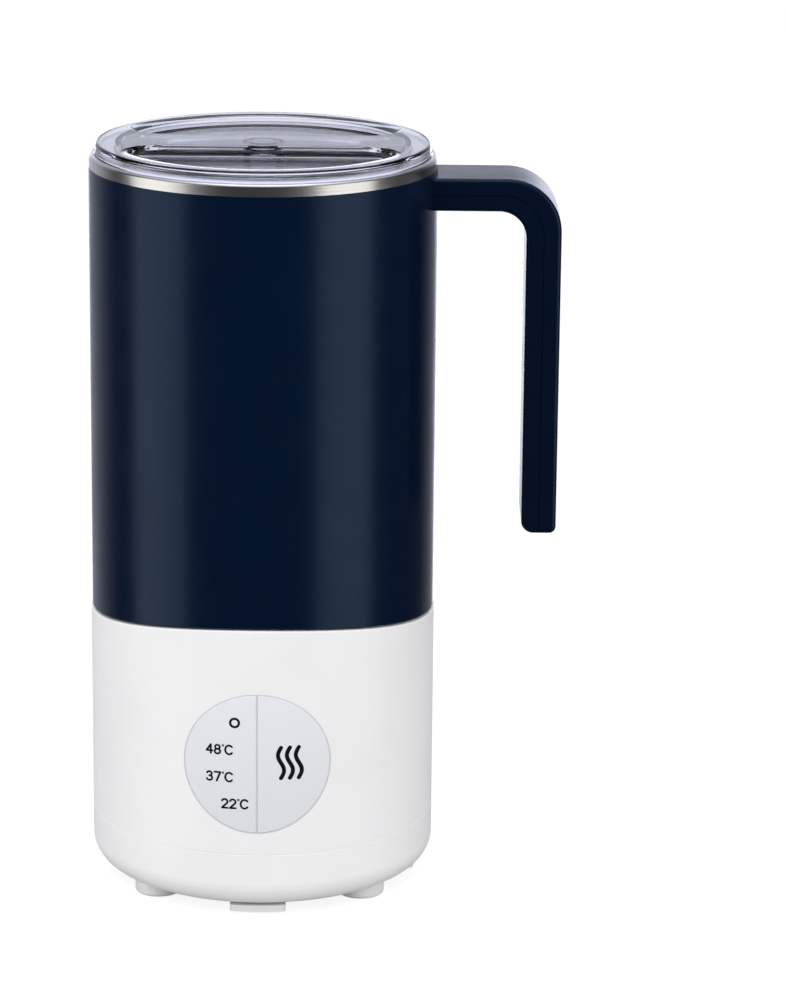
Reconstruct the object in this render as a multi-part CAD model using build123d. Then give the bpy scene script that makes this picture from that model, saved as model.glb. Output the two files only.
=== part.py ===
from build123d import *

import os
from math import cos, hypot, radians, sin, sqrt

# Baby formula maker: heating and mixing base, insulated jug and clear lid with a magnetic whisk.
# Millimetres. +Z is up, the control panel faces -Y and the jug's handle points along +X.
# The origin is on the table, on the axis of the round body. Azimuths are measured from the front.

# ---- Base casing
base_radius = 55.4
base_wall = 2.4
base_bottom = 3.2
base_corner = 8.3
seam_height = 21.7
seam_groove = 0.2
lip_overlap = 2.5
lip_thickness = 1.2
well_depth = 11.6
rim_rise = 7.0
rim_edge = 0.45
cover_post_radius = 3.5
cover_post_height = 7.3
cover_post_gap = 0.8
cover_screw_azimuths = (28, 152, 208, 332)
post_rib = 2.0
screw_head = 2.8
screw_shank = 1.3
screw_clearance = 0.1
press_gap = 0.05
clear = 1.0
screw_bite = 6.0
screw_spare = 1.0
board_screw_head = 1.6
small_screw_head = 2.1
small_head_height = 1.2

# ---- Underside: cord channel, cord gland, keeper and feet
channel_inner = 22.5
channel_inset = 20.6
channel_depth = 11.4
cord_bore = 3.1
gland_wall = 1.2
gland_flange = 1.5
cord_slot_width = 8.4
keeper_inset = 5.4
keeper_hub_overlap = 0.4
keeper_arm = 17.6
keeper_thickness = 2.2
keeper_corner = 1.2
keeper_azimuths = (0, 90, -90)
keeper_gap = 0.5
keeper_screw_circle_radius = 5.4
keeper_head_depth = 1.0
foot_radius = 7.6
foot_inset = 11.7
foot_azimuths = (48, 132, 228, 312)
foot_round = 1.1
foot_seat = 2.0
vent_count = 12
vent_width = 1.8
vent_edge = 2.0

# ---- Jug seat, coil and temperature sensor
seat_height = 84.0
seat_plate = 3.0
seal_width = 2.0
seat_fit = 0.2
seal_drop = 0.5
ledge_width = 4.5
ledge_thickness = 2.5
mica_thickness = 0.5
mica_overlap = 2.0
coil_height = 3.0
coil_inner = 24.5
coil_inset = 6.2
coil_turns = 9
coil_groove = 0.5
ferrite_height = 2.0
ferrite_width = 7.0
ferrite_count = 6
carrier_thickness = 2.0
carrier_gap = 0.3
rotor_room = 1.1
shelf_width = 6.5
sensor_circle_radius = 20.6
sensor_radius = 2.0
sensor_fit = 0.3
sensor_round = 0.5
sensor_length = 4.6
sensor_rise = 0.2
holder_wall = 1.0
holder_floor_thickness = 0.5
spring_wire = 0.4
spring_turns = 5

# ---- Mixing motor and its magnet rotor
motor_radius = 14.0
motor_length = 28.0
motor_boss = 4.0
motor_round = 1.2
shaft_bearing = 8.0
terminal_width = 3.0
terminal_length = 3.0
terminal_thickness = 0.8
bracket_radius = 25.0
bracket_thickness = 2.0
bracket_standoff = 4.0
bracket_post = 3.0
bracket_post_circle_radius = 21.6
bracket_floor = 0.6
motor_screw_circle_radius = 8.5
motor_screw_depth = 4.0
shaft_radius = 1.5
shaft_fit = 0.08
rotor_radius = 16.0
rotor_gap = 1.5
rotor_height = 7.4
rotor_collar = 1.0
rotor_round = 0.6
rotor_roof = 1.5
magnet_radius = 4.6
magnet_height = 4.0
magnet_circle_radius = 10.0
magnet_count = 4

# ---- Cooling fan and power electronics
fan_size = 40.0
fan_height = 10.0
fan_corner = 3.0
fan_bore = 19.0
fan_tip_gap = 0.8
fan_spoke = 2.0
fan_spoke_turn = 20.0
fan_plate = 1.5
fan_hub = 9.0
fan_roof = 1.4
fan_blades = 9
fan_end_gap = 0.6
blade_thickness = 1.0
blade_pitch = 38.0
fan_pin = 1.0
fan_fit = 0.06
board_inset = 9.0
board_gap = 3.0
board_thickness = 1.6
board_post = 3.0
board_post_inset = 4.4
board_hole = 16.0
capacitor_radius = 6.5
capacitor_height = 22.0
capacitor_circle_radius = 31.0
capacitor_gap = 2.0
component_round = 0.8
choke_radius = 9.5
choke_bore = 4.5
choke_height = 10.0
choke_circle_radius = 31.0
film_width = 16.0
film_depth = 8.0
film_height = 14.0
film_circle_radius = 29.0
heatsink_fins = 6
heatsink_height = 20.0
heatsink_length = 26.0
heatsink_depth = 12.0
heatsink_back = 3.0
heatsink_circle_radius = 31.0
transistor_width = 14.0
transistor_height = 16.0
transistor_depth = 4.5
lead_length = 2.0
lead_width = 1.2
lead_pitch = 4.0

# ---- Control panel
panel_drop = 32.1
panel_radius = 22.75
panel_gap = 0.35
button_thickness = 2.2
button_travel = 0.6
button_edge = 0.3
guide_pin = 1.6
guide_fit = 0.08
guide_offset_x = 11.0
guide_offset_z = 14.0
frame_wall = 2.0
frame_depth = 10.4
frame_plate = 2.0
frame_overlap = 0.4
frame_post = 2.2
pin_reach = 0.2
pin_root = 0.5
control_gap = 4.4
control_width = 36.0
control_post_offset = 15.8
switch_size = 6.0
switch_height = 3.5
plunger_radius = 1.3
plunger_length = 1.5
plunger_gap = 0.3
led_radius = 1.5
led_length = 3.0
led_dome = 1.2
led_count = 3
led_pitch = 7.5
led_offset = 4.5

# ---- Jug
jug_inset = 0.4
jug_gap = 0.45
shell_wall = 1.6
shell_length = 148.5
rim_band = 3.8
rim_round = 1.2
vessel_inset = 8.0
vessel_wall = 0.8
vessel_corner = 3.2
base_disc_inset = 6.0
base_disc_thickness = 3.1
base_disc_lift = 0.5
jug_ring_gap = 0.6
jug_ring_wall = 2.0
jug_ring_height = 20.0
jug_ring_flange = 6.0
gasket_depth = 6.0
jug_ring_round = 1.0
glue_gap = 0.1

# ---- Handle
finger_gap = 27.8
handle_thickness = 11.1
arm_thickness = 10.3
handle_drop = 1.9
handle_length = 114.6
handle_width = 26.0
handle_outer_corner = 17.0
handle_inner_corner = 8.5
tip_outer_round = 2.2
tip_inner_round = 3.8
handle_edge = 1.4
handle_wall = 1.8
handle_groove = 0.3
bracket_bar = 3.0
bracket_width = 16.0
bracket_corner = 3.0
handle_screw_inset = 8.0
handle_screw_setback = 8.8
handle_boss = 4.0
handle_head_depth = 2.2
handle_head_height = 1.6
handle_roof = 1.0

# ---- Lid
lid_inset = 2.1
lid_thickness = 3.7
lid_edge = 0.9
lid_plug_gap = 0.5
lid_plug_wall = 1.8
lid_plug_depth = 8.3
lid_border = 7.9
recess_depth = 2.7
recess_corner = 7.0
recess_edge = 0.5
recess_foot = 0.7
lid_floor = 1.8
bar_width = 20.0
bar_wall = 2.0
hollow_inner_wall = 1.9
hollow_outer_wall = 1.7
hollow_depth = 2.0
seal_height = 3.0
seal_reach = 0.2
seal_depth = 0.8
boss_radius = 6.5
boss_bore = 4.2
boss_length = 14.8
bush_length = 10.0
bush_recess = 0.5
bush_fit = 0.05

# ---- Whisk
stem_radius = 2.0
stem_fit = 0.06
stem_play = 0.3
collar_radius = 3.2
collar_height = 2.2
clip_radius = 3.5
clip_thickness = 0.8
clip_mouth = 1.4
stem_above_clip = 1.2
stem_round = 0.5
stem_seat = 0.5
whisk_gap = 1.0
whisk_cover = 1.0
cover_round = 0.5
whisk_hub_radius = 15.0
whisk_hub_height = 6.0
whisk_hub_round = 1.5
whisk_neck = 5.0
whisk_neck_wall = 1.0
paddle_radius = 21.0
paddle_ring = 1.6
paddle_ring_height = 3.0
paddle_height = 9.0
paddle_count = 6
paddle_thickness = 1.6
paddle_tilt = 24.0

# ---- Levels worked out from the sizes above
base_inner = base_radius - base_wall
rim_front = seat_height + well_depth
channel_outer = base_radius - channel_inset
cover_post_circle_radius = channel_outer + base_wall + cover_post_radius + cover_post_gap
foot_circle_radius = base_radius - foot_inset
keeper_radius = base_radius - keeper_inset
arch_radius = (base_radius**2 + rim_rise**2) / (2 * rim_rise)
channel_top = base_bottom + channel_depth
inside_floor = channel_top + base_wall
floor_top = base_bottom + base_wall
hub_inner = channel_inner - base_wall
keeper_hub = hub_inner + keeper_hub_overlap
board_radius = base_inner - board_inset
board_post_circle_radius = board_radius - board_post_inset
board_height = inside_floor + fan_height + board_gap
cord_height = floor_top + cord_bore + gland_wall + screw_clearance
cord_slot_top = cord_height + cord_bore + screw_clearance
seat_radius = base_inner - 2 * seat_fit - seal_width
ledge_inner = base_inner - ledge_width
carrier_radius = ledge_inner - carrier_gap
coil_outer = carrier_radius - coil_inset
plate_bottom = seat_height - seat_plate
mica_bottom = plate_bottom - mica_thickness
coil_bottom = mica_bottom - coil_height
carrier_top = coil_bottom - ferrite_height
carrier_bottom = carrier_top - carrier_thickness
panel_height = seat_height - panel_drop
panel_hole = panel_radius + panel_gap
frame_back = base_radius - frame_depth
frame_radius = panel_hole + frame_wall
front_flat = frame_back - frame_overlap
bracket_top = carrier_bottom - bracket_standoff
bracket_bottom = bracket_top - bracket_thickness
motor_bottom = bracket_bottom - motor_length
rotor_top = mica_bottom - rotor_gap
rotor_bottom = rotor_top - rotor_height
board_top = board_height + board_thickness
sensor_tip = seat_height + sensor_rise
sensor_bottom = sensor_tip - sensor_length
holder_top = mica_bottom - seat_fit
holder_floor = carrier_top + holder_floor_thickness
button_back = base_radius - button_thickness
control_front = frame_back - control_gap
control_half = control_width / 2
plunger_tip = control_front + switch_height + plunger_length
button_stem_tip = plunger_tip + plunger_gap + button_travel
board_front = control_front - board_thickness - small_head_height - clear
shell_top = seat_height + shell_length
band_top = shell_top + rim_band
jug_radius = base_radius - jug_inset
vessel_radius = jug_radius - vessel_inset
vessel_outer = vessel_radius + vessel_wall
base_disc_radius = vessel_radius - base_disc_inset
jug_ring_radius = base_inner - jug_ring_gap
jug_ring_top = seat_height + jug_ring_height
disc_bottom = seat_height + base_disc_lift
vessel_bottom = disc_bottom + base_disc_thickness
vessel_floor = vessel_bottom + vessel_wall
lid_radius = jug_radius - lid_inset
lid_plug_radius = vessel_radius - lid_plug_gap
recess_radius = lid_radius - lid_border
hollow_inner = lid_plug_radius + hollow_inner_wall
hollow_outer = lid_radius - hollow_outer_wall
lid_top = band_top + lid_thickness
recess_floor = lid_top - recess_depth
lid_underside = recess_floor - lid_floor
boss_bottom = band_top - boss_length
bush_bottom = boss_bottom + bush_recess
bush_top = bush_bottom + bush_length
clip_bottom = bush_top + stem_play
stem_top = clip_bottom + clip_thickness + stem_above_clip
collar_top = bush_bottom - stem_play
whisk_bottom = vessel_floor + whisk_gap
hub_bottom = whisk_bottom + whisk_cover
hub_top = hub_bottom + whisk_hub_height
inner_x = jug_radius + finger_gap
handle_reach = inner_x + handle_thickness
handle_top = shell_top - handle_drop
handle_tip = handle_top - handle_length
handle_screw_places = (jug_radius + handle_screw_inset, inner_x - handle_screw_setback)
split_x = handle_reach - handle_thickness / 2
split_z = handle_top - arm_thickness / 2
bar_bottom = split_z - bracket_bar / 2
under_z = handle_top - arm_thickness
keeper_top = base_bottom - keeper_gap
keeper_bottom = keeper_top - keeper_thickness
keeper_post_top = channel_top - base_wall
post_top = seam_height + cover_post_height
thread_radius = screw_shank - press_gap
fan_top = inside_floor + fan_height
rotor_cap = fan_top - fan_end_gap
shell_inner = jug_radius - shell_wall
bar_top_face = bar_bottom + bracket_bar
plug_bottom = band_top - lid_plug_depth
bar_underside = lid_top - bar_wall
seal_bottom = band_top - (lid_plug_depth + seal_height) / 2
stem_bottom = hub_bottom + stem_seat


# ---- Building blocks
def disc(radius, bottom, top):
    """Upright cylinder on the axis."""
    return Pos(0, 0, bottom) * Cylinder(radius, top - bottom, align=(Align.CENTER, Align.CENTER, Align.MIN))


def ring(outer, inner, bottom, top):
    return disc(outer, bottom, top) - disc(inner, bottom, top)


def pillar(radius, place, bottom, top):
    """Upright cylinder away from the axis."""
    x, y = place
    return Pos(x, y, 0) * disc(radius, bottom, top)


def rod(radius, back, front, x=0, z=0):
    """Cylinder along Y, from y = back to y = front."""
    turned = Rot(-90, 0, 0) * Cylinder(radius, front - back, align=(Align.CENTER, Align.CENTER, Align.MIN))
    return Pos(x, back, z) * turned


def block(x_span, y_span, z_span):
    size = [high - low for low, high in (x_span, y_span, z_span)]
    return Pos(x_span[0], y_span[0], z_span[0]) * Box(*size, align=(Align.MIN, Align.MIN, Align.MIN))


def polar(radius, azimuth):
    """Place on a circle, with the azimuth measured from the front."""
    return (radius * sin(radians(azimuth)), -radius * cos(radians(azimuth)))


def spread(count, start=0.0):
    return [start + 360.0 * index / count for index in range(count)]


def join(pieces):
    """One shape from overlapping pieces."""
    whole = pieces[0]
    for piece in pieces[1:]:
        whole = whole + piece
    return whole


def group(pieces):
    """Separate solids in one node."""
    return Compound([solid for piece in pieces for solid in piece.solids()])


def reach(edge):
    """Distance of an edge's middle from the axis."""
    middle = edge @ 0.5
    return hypot(middle.X, middle.Y)


def lowest(shape):
    return shape.edges().group_by(Axis.Z)[0]


def highest(shape):
    return shape.edges().group_by(Axis.Z)[-1]


def rising_screw(place, head_bottom, head_height, tip, head=screw_head):
    """Screw driven from below."""
    slot = pillar(head / 2, place, head_bottom, head_bottom + head_height / 2)
    shank = pillar(thread_radius, place, head_bottom + head_height, tip)
    return pillar(head, place, head_bottom, head_bottom + head_height) - slot + shank


def falling_screw(place, head_bottom, head_height, tip, head=screw_head):
    """Screw driven from above."""
    slot = pillar(head / 2, place, head_bottom + head_height / 2, head_bottom + head_height)
    shank = pillar(thread_radius, place, tip, head_bottom)
    return pillar(head, place, head_bottom, head_bottom + head_height) - slot + shank


def arch(radius):
    """Large cylinder along Y whose top gives the rim its rise at the front and back."""
    return rod(radius, -2 * base_radius, 2 * base_radius, z=rim_front - arch_radius)


# ---- Base casing
def cover_outside():
    body = fillet(lowest(disc(base_radius, base_bottom, seam_height)), base_corner)
    return chamfer(highest(body), seam_groove)


def keeper_screw_places():
    return [polar(keeper_screw_circle_radius, azimuth) for azimuth in spread(3)]


def cover_screw_places():
    return [polar(cover_post_circle_radius, azimuth) for azimuth in cover_screw_azimuths]


def board_post_places():
    return [polar(board_post_circle_radius, azimuth) for azimuth in spread(4, 45.0)]


def vent_slots(bottom, top):
    """Ring of slots through which the fan draws its air."""
    inner = keeper_screw_circle_radius + screw_shank + base_wall
    slot = block((-vent_width / 2, vent_width / 2), (inner, hub_inner - vent_edge), (bottom, top))
    return [Rot(0, 0, angle) * slot for angle in spread(vent_count, 180.0 / vent_count)]


def bottom_cover():
    outside = cover_outside()
    inside = fillet(lowest(disc(base_inner, floor_top, seam_height)), base_corner - base_wall)
    cover = outside - inside
    cover += disc(channel_outer + base_wall, base_bottom, inside_floor)
    cover -= ring(channel_outer, channel_inner, base_bottom, channel_top)
    cover -= disc(hub_inner, floor_top, inside_floor)

    half_slot = cord_slot_width / 2
    half_tunnel = half_slot + base_wall
    tunnel = block((-half_tunnel, half_tunnel), (channel_outer, base_radius),
                   (base_bottom, cord_slot_top + base_wall))
    cover += tunnel & outside
    cover -= block((-half_slot, half_slot), (channel_outer - clear, base_radius + clear), (0, cord_slot_top))
    cover -= rod(cord_bore + gland_wall, hub_inner - clear, channel_inner + clear, z=cord_height)

    lip_outer = base_inner - seat_fit
    lip_inner = lip_outer - lip_thickness
    lip_root = seam_height - lip_overlap
    cover += ring(base_inner + seat_fit, lip_inner, lip_root - lip_overlap, lip_root)
    cover += ring(lip_outer, lip_inner, lip_root, seam_height + lip_overlap)
    cover -= rod(frame_radius + clear, -lip_outer, -frame_back, z=panel_height)

    head_wall = screw_head + screw_clearance + lip_thickness
    for place in cover_screw_places():
        cover += pillar(head_wall, place, floor_top, floor_top + base_wall)
        cover += pillar(cover_post_radius, place, floor_top, seam_height)
    for place in cover_screw_places():
        cover -= pillar(screw_head + screw_clearance, place, base_bottom, floor_top)
        cover -= pillar(screw_shank + screw_clearance, place, floor_top, seam_height)
    for place in board_post_places():
        cover += pillar(board_post, place, floor_top, board_height)
    for place in board_post_places():
        cover -= pillar(screw_shank, place, board_height - screw_bite - screw_spare, board_height)
    for slot in vent_slots(base_bottom, floor_top):
        cover -= slot
    for place in keeper_screw_places():
        cover += pillar(screw_shank + base_wall, place, floor_top, keeper_post_top)
    for place in keeper_screw_places():
        cover -= pillar(screw_shank, place, base_bottom, keeper_post_top - screw_spare)
    return cover


def cord_gland():
    """Bush in the wall of the hub, with a flange on each face of the wall."""
    span = (hub_inner - gland_flange, channel_inner + gland_flange)
    room = block((-channel_inner, channel_inner), (0, channel_outer),
                 (floor_top + screw_clearance, channel_top - screw_clearance))
    flanges = rod(cord_bore + gland_wall + gland_flange, *span, z=cord_height) & room
    flanges -= ring(channel_inner + screw_clearance, hub_inner - screw_clearance, base_bottom, inside_floor)
    body = rod(cord_bore + gland_wall - press_gap, *span, z=cord_height)
    return flanges + body - rod(cord_bore, 0, channel_outer, z=cord_height)


def cord_winder():
    """Cross-shaped keeper under the base: the cord lies in the channel above its arms."""
    half = keeper_arm / 2
    arm = block((-half, half), (-keeper_radius - clear, 0), (keeper_bottom, keeper_top))
    arm = arm & disc(keeper_radius, keeper_bottom, keeper_top)
    corners = [edge for edge in arm.edges().filter_by(Axis.Z) if reach(edge) > keeper_hub]
    arm = fillet(corners, keeper_corner)
    keeper = disc(keeper_hub, keeper_bottom, base_bottom)
    for azimuth in keeper_azimuths:
        keeper += Rot(0, 0, azimuth) * arm
    for slot in vent_slots(keeper_bottom, base_bottom):
        keeper -= slot
    for place in keeper_screw_places():
        keeper -= pillar(screw_head + screw_clearance, place, keeper_bottom,
                         keeper_bottom + keeper_head_depth)
        keeper -= pillar(screw_shank + screw_clearance, place, keeper_bottom, base_bottom)
    return keeper


def winder_screws():
    head_bottom = keeper_bottom + screw_clearance
    tip = keeper_post_top - 2 * screw_spare
    return group([rising_screw(place, head_bottom, keeper_head_depth - screw_clearance, tip)
                  for place in keeper_screw_places()])


def cover_screws():
    head_height = base_wall - seat_fit
    return group([rising_screw(place, floor_top - head_height, head_height, post_top - 2 * screw_spare)
                  for place in cover_screw_places()])


def rubber_feet():
    outside = cover_outside()
    feet = []
    for azimuth in foot_azimuths:
        foot = pillar(foot_radius, polar(foot_circle_radius, azimuth), 0, base_bottom + foot_seat)
        feet.append(fillet(lowest(foot), foot_round) - outside)
    return group(feet)


def base_housing():
    shell = ring(base_radius, base_inner, seam_height, rim_front) & arch(arch_radius)
    rim_edges = [edge for edge in shell.edges() if edge.center().Z > seat_height]
    shell = fillet(rim_edges, rim_edge)
    outer_seam = [edge for edge in lowest(shell) if reach(edge) > base_inner + clear]
    shell = chamfer(outer_seam, seam_groove)

    ledge_bottom = plate_bottom - ledge_thickness
    shelf_bottom = carrier_bottom - ledge_thickness
    shell += ring(base_inner + seat_fit, base_inner - ledge_width, ledge_bottom, plate_bottom)
    shelf = ring(base_inner + seat_fit, base_inner - shelf_width, shelf_bottom, carrier_bottom)
    panel_room = block((-base_radius, base_radius), (-base_radius, -front_flat), (shelf_bottom, ledge_bottom))
    shell += shelf - panel_room
    rib = block((-post_rib / 2, post_rib / 2), (-base_inner - seat_fit, -cover_post_circle_radius),
                (seam_height + lip_overlap + clear, post_top))
    for azimuth in cover_screw_azimuths:
        shell += pillar(cover_post_radius, polar(cover_post_circle_radius, azimuth), seam_height, post_top)
        shell += Rot(0, 0, azimuth) * rib
    for place in cover_screw_places():
        shell -= pillar(screw_shank, place, seam_height, post_top - screw_spare)
    return shell - rod(panel_hole, -base_radius - clear, -front_flat, z=panel_height)


# ---- Jug seat, coil and temperature sensor
def sensor_point():
    return polar(sensor_circle_radius, 180)


def sensor_hole(bottom, top):
    return pillar(sensor_radius + sensor_fit, sensor_point(), bottom, top)


def jug_seat_plate():
    plate = disc(seat_radius, plate_bottom, seat_height)
    return fillet(highest(plate), seat_fit) - sensor_hole(plate_bottom, seat_height)


def seat_seal():
    return ring(base_inner - seat_fit, seat_radius + seat_fit, plate_bottom, seat_height - seal_drop)


def mica_disc():
    return disc(coil_outer + mica_overlap, mica_bottom, plate_bottom) - sensor_hole(mica_bottom, plate_bottom)


def induction_coil():
    """Flat winding: the turns show as grooves on the upper face."""
    winding = ring(coil_outer, coil_inner, coil_bottom, mica_bottom)
    pitch = (coil_outer - coil_inner) / coil_turns
    for turn in range(1, coil_turns):
        middle = coil_inner + turn * pitch
        winding -= ring(middle + coil_groove / 2, middle - coil_groove / 2, mica_bottom - coil_groove,
                        mica_bottom)
    return winding


def ferrite_bars():
    half = ferrite_width / 2
    bar = block((-half, half), (-coil_outer, -coil_inner), (carrier_top, coil_bottom))
    return group([Rot(0, 0, azimuth) * bar for azimuth in spread(ferrite_count, 180.0 / ferrite_count)])


def coil_carrier():
    plate = ring(carrier_radius, rotor_radius + rotor_room, carrier_bottom, carrier_top)
    plate -= block((-base_radius, base_radius), (-base_radius, -front_flat), (carrier_bottom, carrier_top))
    for place in bracket_post_places():
        plate -= pillar(screw_shank + screw_clearance, place, carrier_bottom, carrier_top)
    return plate


def temperature_sensor():
    probe = pillar(sensor_radius, sensor_point(), sensor_bottom, sensor_tip)
    return fillet(highest(probe), sensor_round)


def sensor_holder():
    sleeve = pillar(sensor_radius + sensor_fit + holder_wall, sensor_point(), carrier_top, holder_top)
    return sleeve - sensor_hole(holder_floor, holder_top)


def sensor_spring():
    """Stack of wire rings that stands for the probe's coil spring."""
    coil_radius = sensor_radius - spring_wire / 2
    bottom = holder_floor + spring_wire / 2
    top = sensor_bottom - spring_wire / 2
    x, y = sensor_point()
    pitch = (top - bottom) / (spring_turns - 1)
    turns = [Pos(x, y, bottom + turn * pitch) * Torus(coil_radius, spring_wire / 2)
             for turn in range(spring_turns)]
    link = block((x - spring_wire / 2, x + spring_wire / 2),
                 (y + coil_radius - spring_wire / 2, y + coil_radius + spring_wire / 2), (bottom, top))
    return join([link] + turns)


# ---- Mixing motor and its magnet rotor
def bracket_post_places():
    return [polar(bracket_post_circle_radius, azimuth) for azimuth in spread(3)]


def motor_screw_places():
    return [polar(motor_screw_circle_radius, azimuth) for azimuth in (90, 270)]


def motor_can():
    can = disc(motor_radius, motor_bottom, bracket_bottom)
    can = fillet(can.edges(), motor_round)
    can += disc(motor_boss, bracket_bottom - clear, bracket_top)
    can -= disc(shaft_radius + shaft_fit, bracket_bottom - shaft_bearing, bracket_top)
    for place in motor_screw_places():
        can -= pillar(screw_shank, place, bracket_bottom - motor_screw_depth, bracket_bottom)
    for side in (-1, 1):
        middle = side * motor_radius / 2
        can += block((middle - terminal_width / 2, middle + terminal_width / 2),
                     (-terminal_thickness / 2, terminal_thickness / 2),
                     (motor_bottom - terminal_length, motor_bottom + clear))
    return can


def motor_bracket():
    plate = ring(bracket_radius, motor_boss + screw_clearance, bracket_bottom, bracket_top)
    for place in bracket_post_places():
        plate += pillar(bracket_post, place, bracket_bottom, carrier_bottom)
    for place in bracket_post_places():
        plate -= pillar(screw_shank, place, bracket_bottom + bracket_floor, carrier_bottom)
    for place in motor_screw_places():
        plate -= pillar(screw_shank + screw_clearance, place, bracket_bottom, bracket_top)
    return plate


def motor_screws():
    tip = bracket_bottom - motor_screw_depth + press_gap
    return group([falling_screw(place, bracket_top, small_head_height, tip, head=small_screw_head)
                  for place in motor_screw_places()])


def bracket_screws():
    tip = bracket_bottom + bracket_floor + press_gap
    return group([falling_screw(place, carrier_top, small_head_height, tip, head=small_screw_head)
                  for place in bracket_post_places()])


def motor_shaft():
    return disc(shaft_radius, bracket_bottom - shaft_bearing + seat_fit, rotor_top - rotor_roof)


def drive_magnet_places():
    return [polar(magnet_circle_radius, azimuth) for azimuth in spread(magnet_count, 180.0 / magnet_count)]


def magnet_holder():
    holder = disc(rotor_radius, rotor_bottom + rotor_collar, rotor_top)
    holder = fillet(highest(holder), rotor_round)
    holder += disc(motor_boss, rotor_bottom, rotor_top - rotor_roof)
    holder -= disc(shaft_radius, rotor_bottom, rotor_top - rotor_roof)
    for place in drive_magnet_places():
        holder -= pillar(magnet_radius, place, rotor_top - magnet_height, rotor_top)
    return holder


def drive_magnets():
    return group([pillar(magnet_radius - press_gap, place, rotor_top - magnet_height, rotor_top - press_gap)
                  for place in drive_magnet_places()])


# ---- Cooling fan and power electronics
def fan_frame():
    half = fan_size / 2
    plate_top = inside_floor + fan_plate
    frame = block((-half, half), (-half, half), (inside_floor, fan_top))
    frame = fillet(frame.edges().filter_by(Axis.Z), fan_corner)
    frame -= disc(fan_bore, inside_floor, fan_top)
    frame += disc(fan_hub - clear, inside_floor, plate_top)
    spoke = block((-fan_spoke / 2, fan_spoke / 2), (0, fan_bore + seat_fit), (inside_floor, plate_top))
    for angle in spread(4, fan_spoke_turn):
        frame += Rot(0, 0, angle) * spoke
    return frame + disc(fan_pin, inside_floor, rotor_cap - fan_roof - seat_fit)


def fan_rotor():
    bottom = inside_floor + fan_plate + fan_end_gap
    hub = disc(fan_hub, bottom, rotor_cap) - disc(fan_pin + fan_fit, bottom, rotor_cap - fan_roof)
    tip = fan_bore - fan_tip_gap
    blade = Box(tip, blade_thickness, 2 * fan_height, align=(Align.MIN, Align.CENTER, Align.CENTER))
    blade = Pos(0, 0, (bottom + rotor_cap) / 2) * Rot(blade_pitch, 0, 0) * blade
    blade = blade & ring(tip, fan_hub - clear, bottom + seat_fit, rotor_cap - seat_fit)
    for angle in spread(fan_blades):
        hub += Rot(0, 0, angle) * blade
    return hub


def power_board():
    board = ring(board_radius, board_hole, board_height, board_top)
    board -= block((-board_radius, board_radius), (-board_radius, -board_front), (board_height, board_top))
    for place in board_post_places():
        board -= pillar(screw_shank + screw_clearance, place, board_height, board_top)
    return board


def board_screws():
    return group([falling_screw(place, board_top, board_screw_head, board_height - screw_bite)
                  for place in board_post_places()])


def bulk_capacitors():
    cans = []
    for side in (-1, 1):
        place = (capacitor_circle_radius, side * (capacitor_radius + capacitor_gap / 2))
        can = pillar(capacitor_radius, place, board_top, board_top + capacitor_height)
        cans.append(fillet(highest(can), component_round))
    return group(cans)


def resonant_capacitor():
    half = film_width / 2
    box = block((-half, half), (-film_circle_radius - film_depth / 2, -film_circle_radius + film_depth / 2),
                (board_top, board_top + film_height))
    return fillet(box.edges().filter_by(Axis.Z), component_round)


def choke_coil():
    x, y = polar(choke_circle_radius, 180)
    core = Pos(x, y, 0) * ring(choke_radius, choke_bore, board_top, board_top + choke_height)
    return fillet(core.edges(), component_round)


def heatsink():
    half = heatsink_length / 2
    outer = -heatsink_circle_radius - heatsink_depth / 2
    top = board_top + heatsink_height
    body = block((outer, outer + heatsink_depth), (-half, half), (board_top, top))
    pitch = heatsink_length / heatsink_fins
    for fin in range(heatsink_fins):
        middle = -half + pitch * (fin + 0.5)
        body -= block((outer, outer + heatsink_depth - heatsink_back),
                      (middle - pitch / 4, middle + pitch / 4), (board_top, top))
    return body


def power_transistor():
    """Package held flat against the heatsink, on three leads."""
    face = -heatsink_circle_radius + heatsink_depth / 2
    half = transistor_width / 2
    bottom = board_top + lead_length
    package = block((face, face + transistor_depth), (-half, half), (bottom, bottom + transistor_height))
    middle = face + transistor_depth / 2
    for lead in (-lead_pitch, 0, lead_pitch):
        package += block((middle - lead_width / 2, middle + lead_width / 2),
                         (lead - lead_width / 2, lead + lead_width / 2), (board_top, bottom + clear))
    return package


# ---- Control panel
def guide_places(side):
    return [(side * guide_offset_x, panel_height + offset * guide_offset_z) for offset in (-1, 1)]


def post_places():
    return [(side * control_post_offset, panel_height + level * control_post_offset)
            for side in (-1, 1) for level in (-1, 1)]


def button_half(side):
    """One half-moon of the round panel, curved to follow the casing."""
    band = ring(base_radius, button_back, panel_height - panel_radius - clear,
                panel_height + panel_radius + clear)
    face = band & rod(panel_radius, -base_radius - clear, -frame_back, z=panel_height)
    near, far = sorted((side * panel_gap / 2, side * (panel_radius + clear)))
    face = face & block((near, far), (-base_radius - clear, 0), (0, rim_front))
    front_edges = [edge for edge in face.edges() if reach(edge) > base_radius - button_edge / 4]
    face = fillet(front_edges, button_edge)
    root = pin_root - sqrt(button_back**2 - guide_offset_x**2)
    for x, z in guide_places(side):
        face += rod(guide_pin, root - 2 * pin_root, -frame_back + pin_reach, x=x, z=z)
    stem = rod(guide_pin, root - 2 * pin_root, -button_stem_tip, x=side * guide_offset_x, z=panel_height)
    return face + stem


def button_left():
    return button_half(-1)


def button_right():
    return button_half(1)


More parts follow.
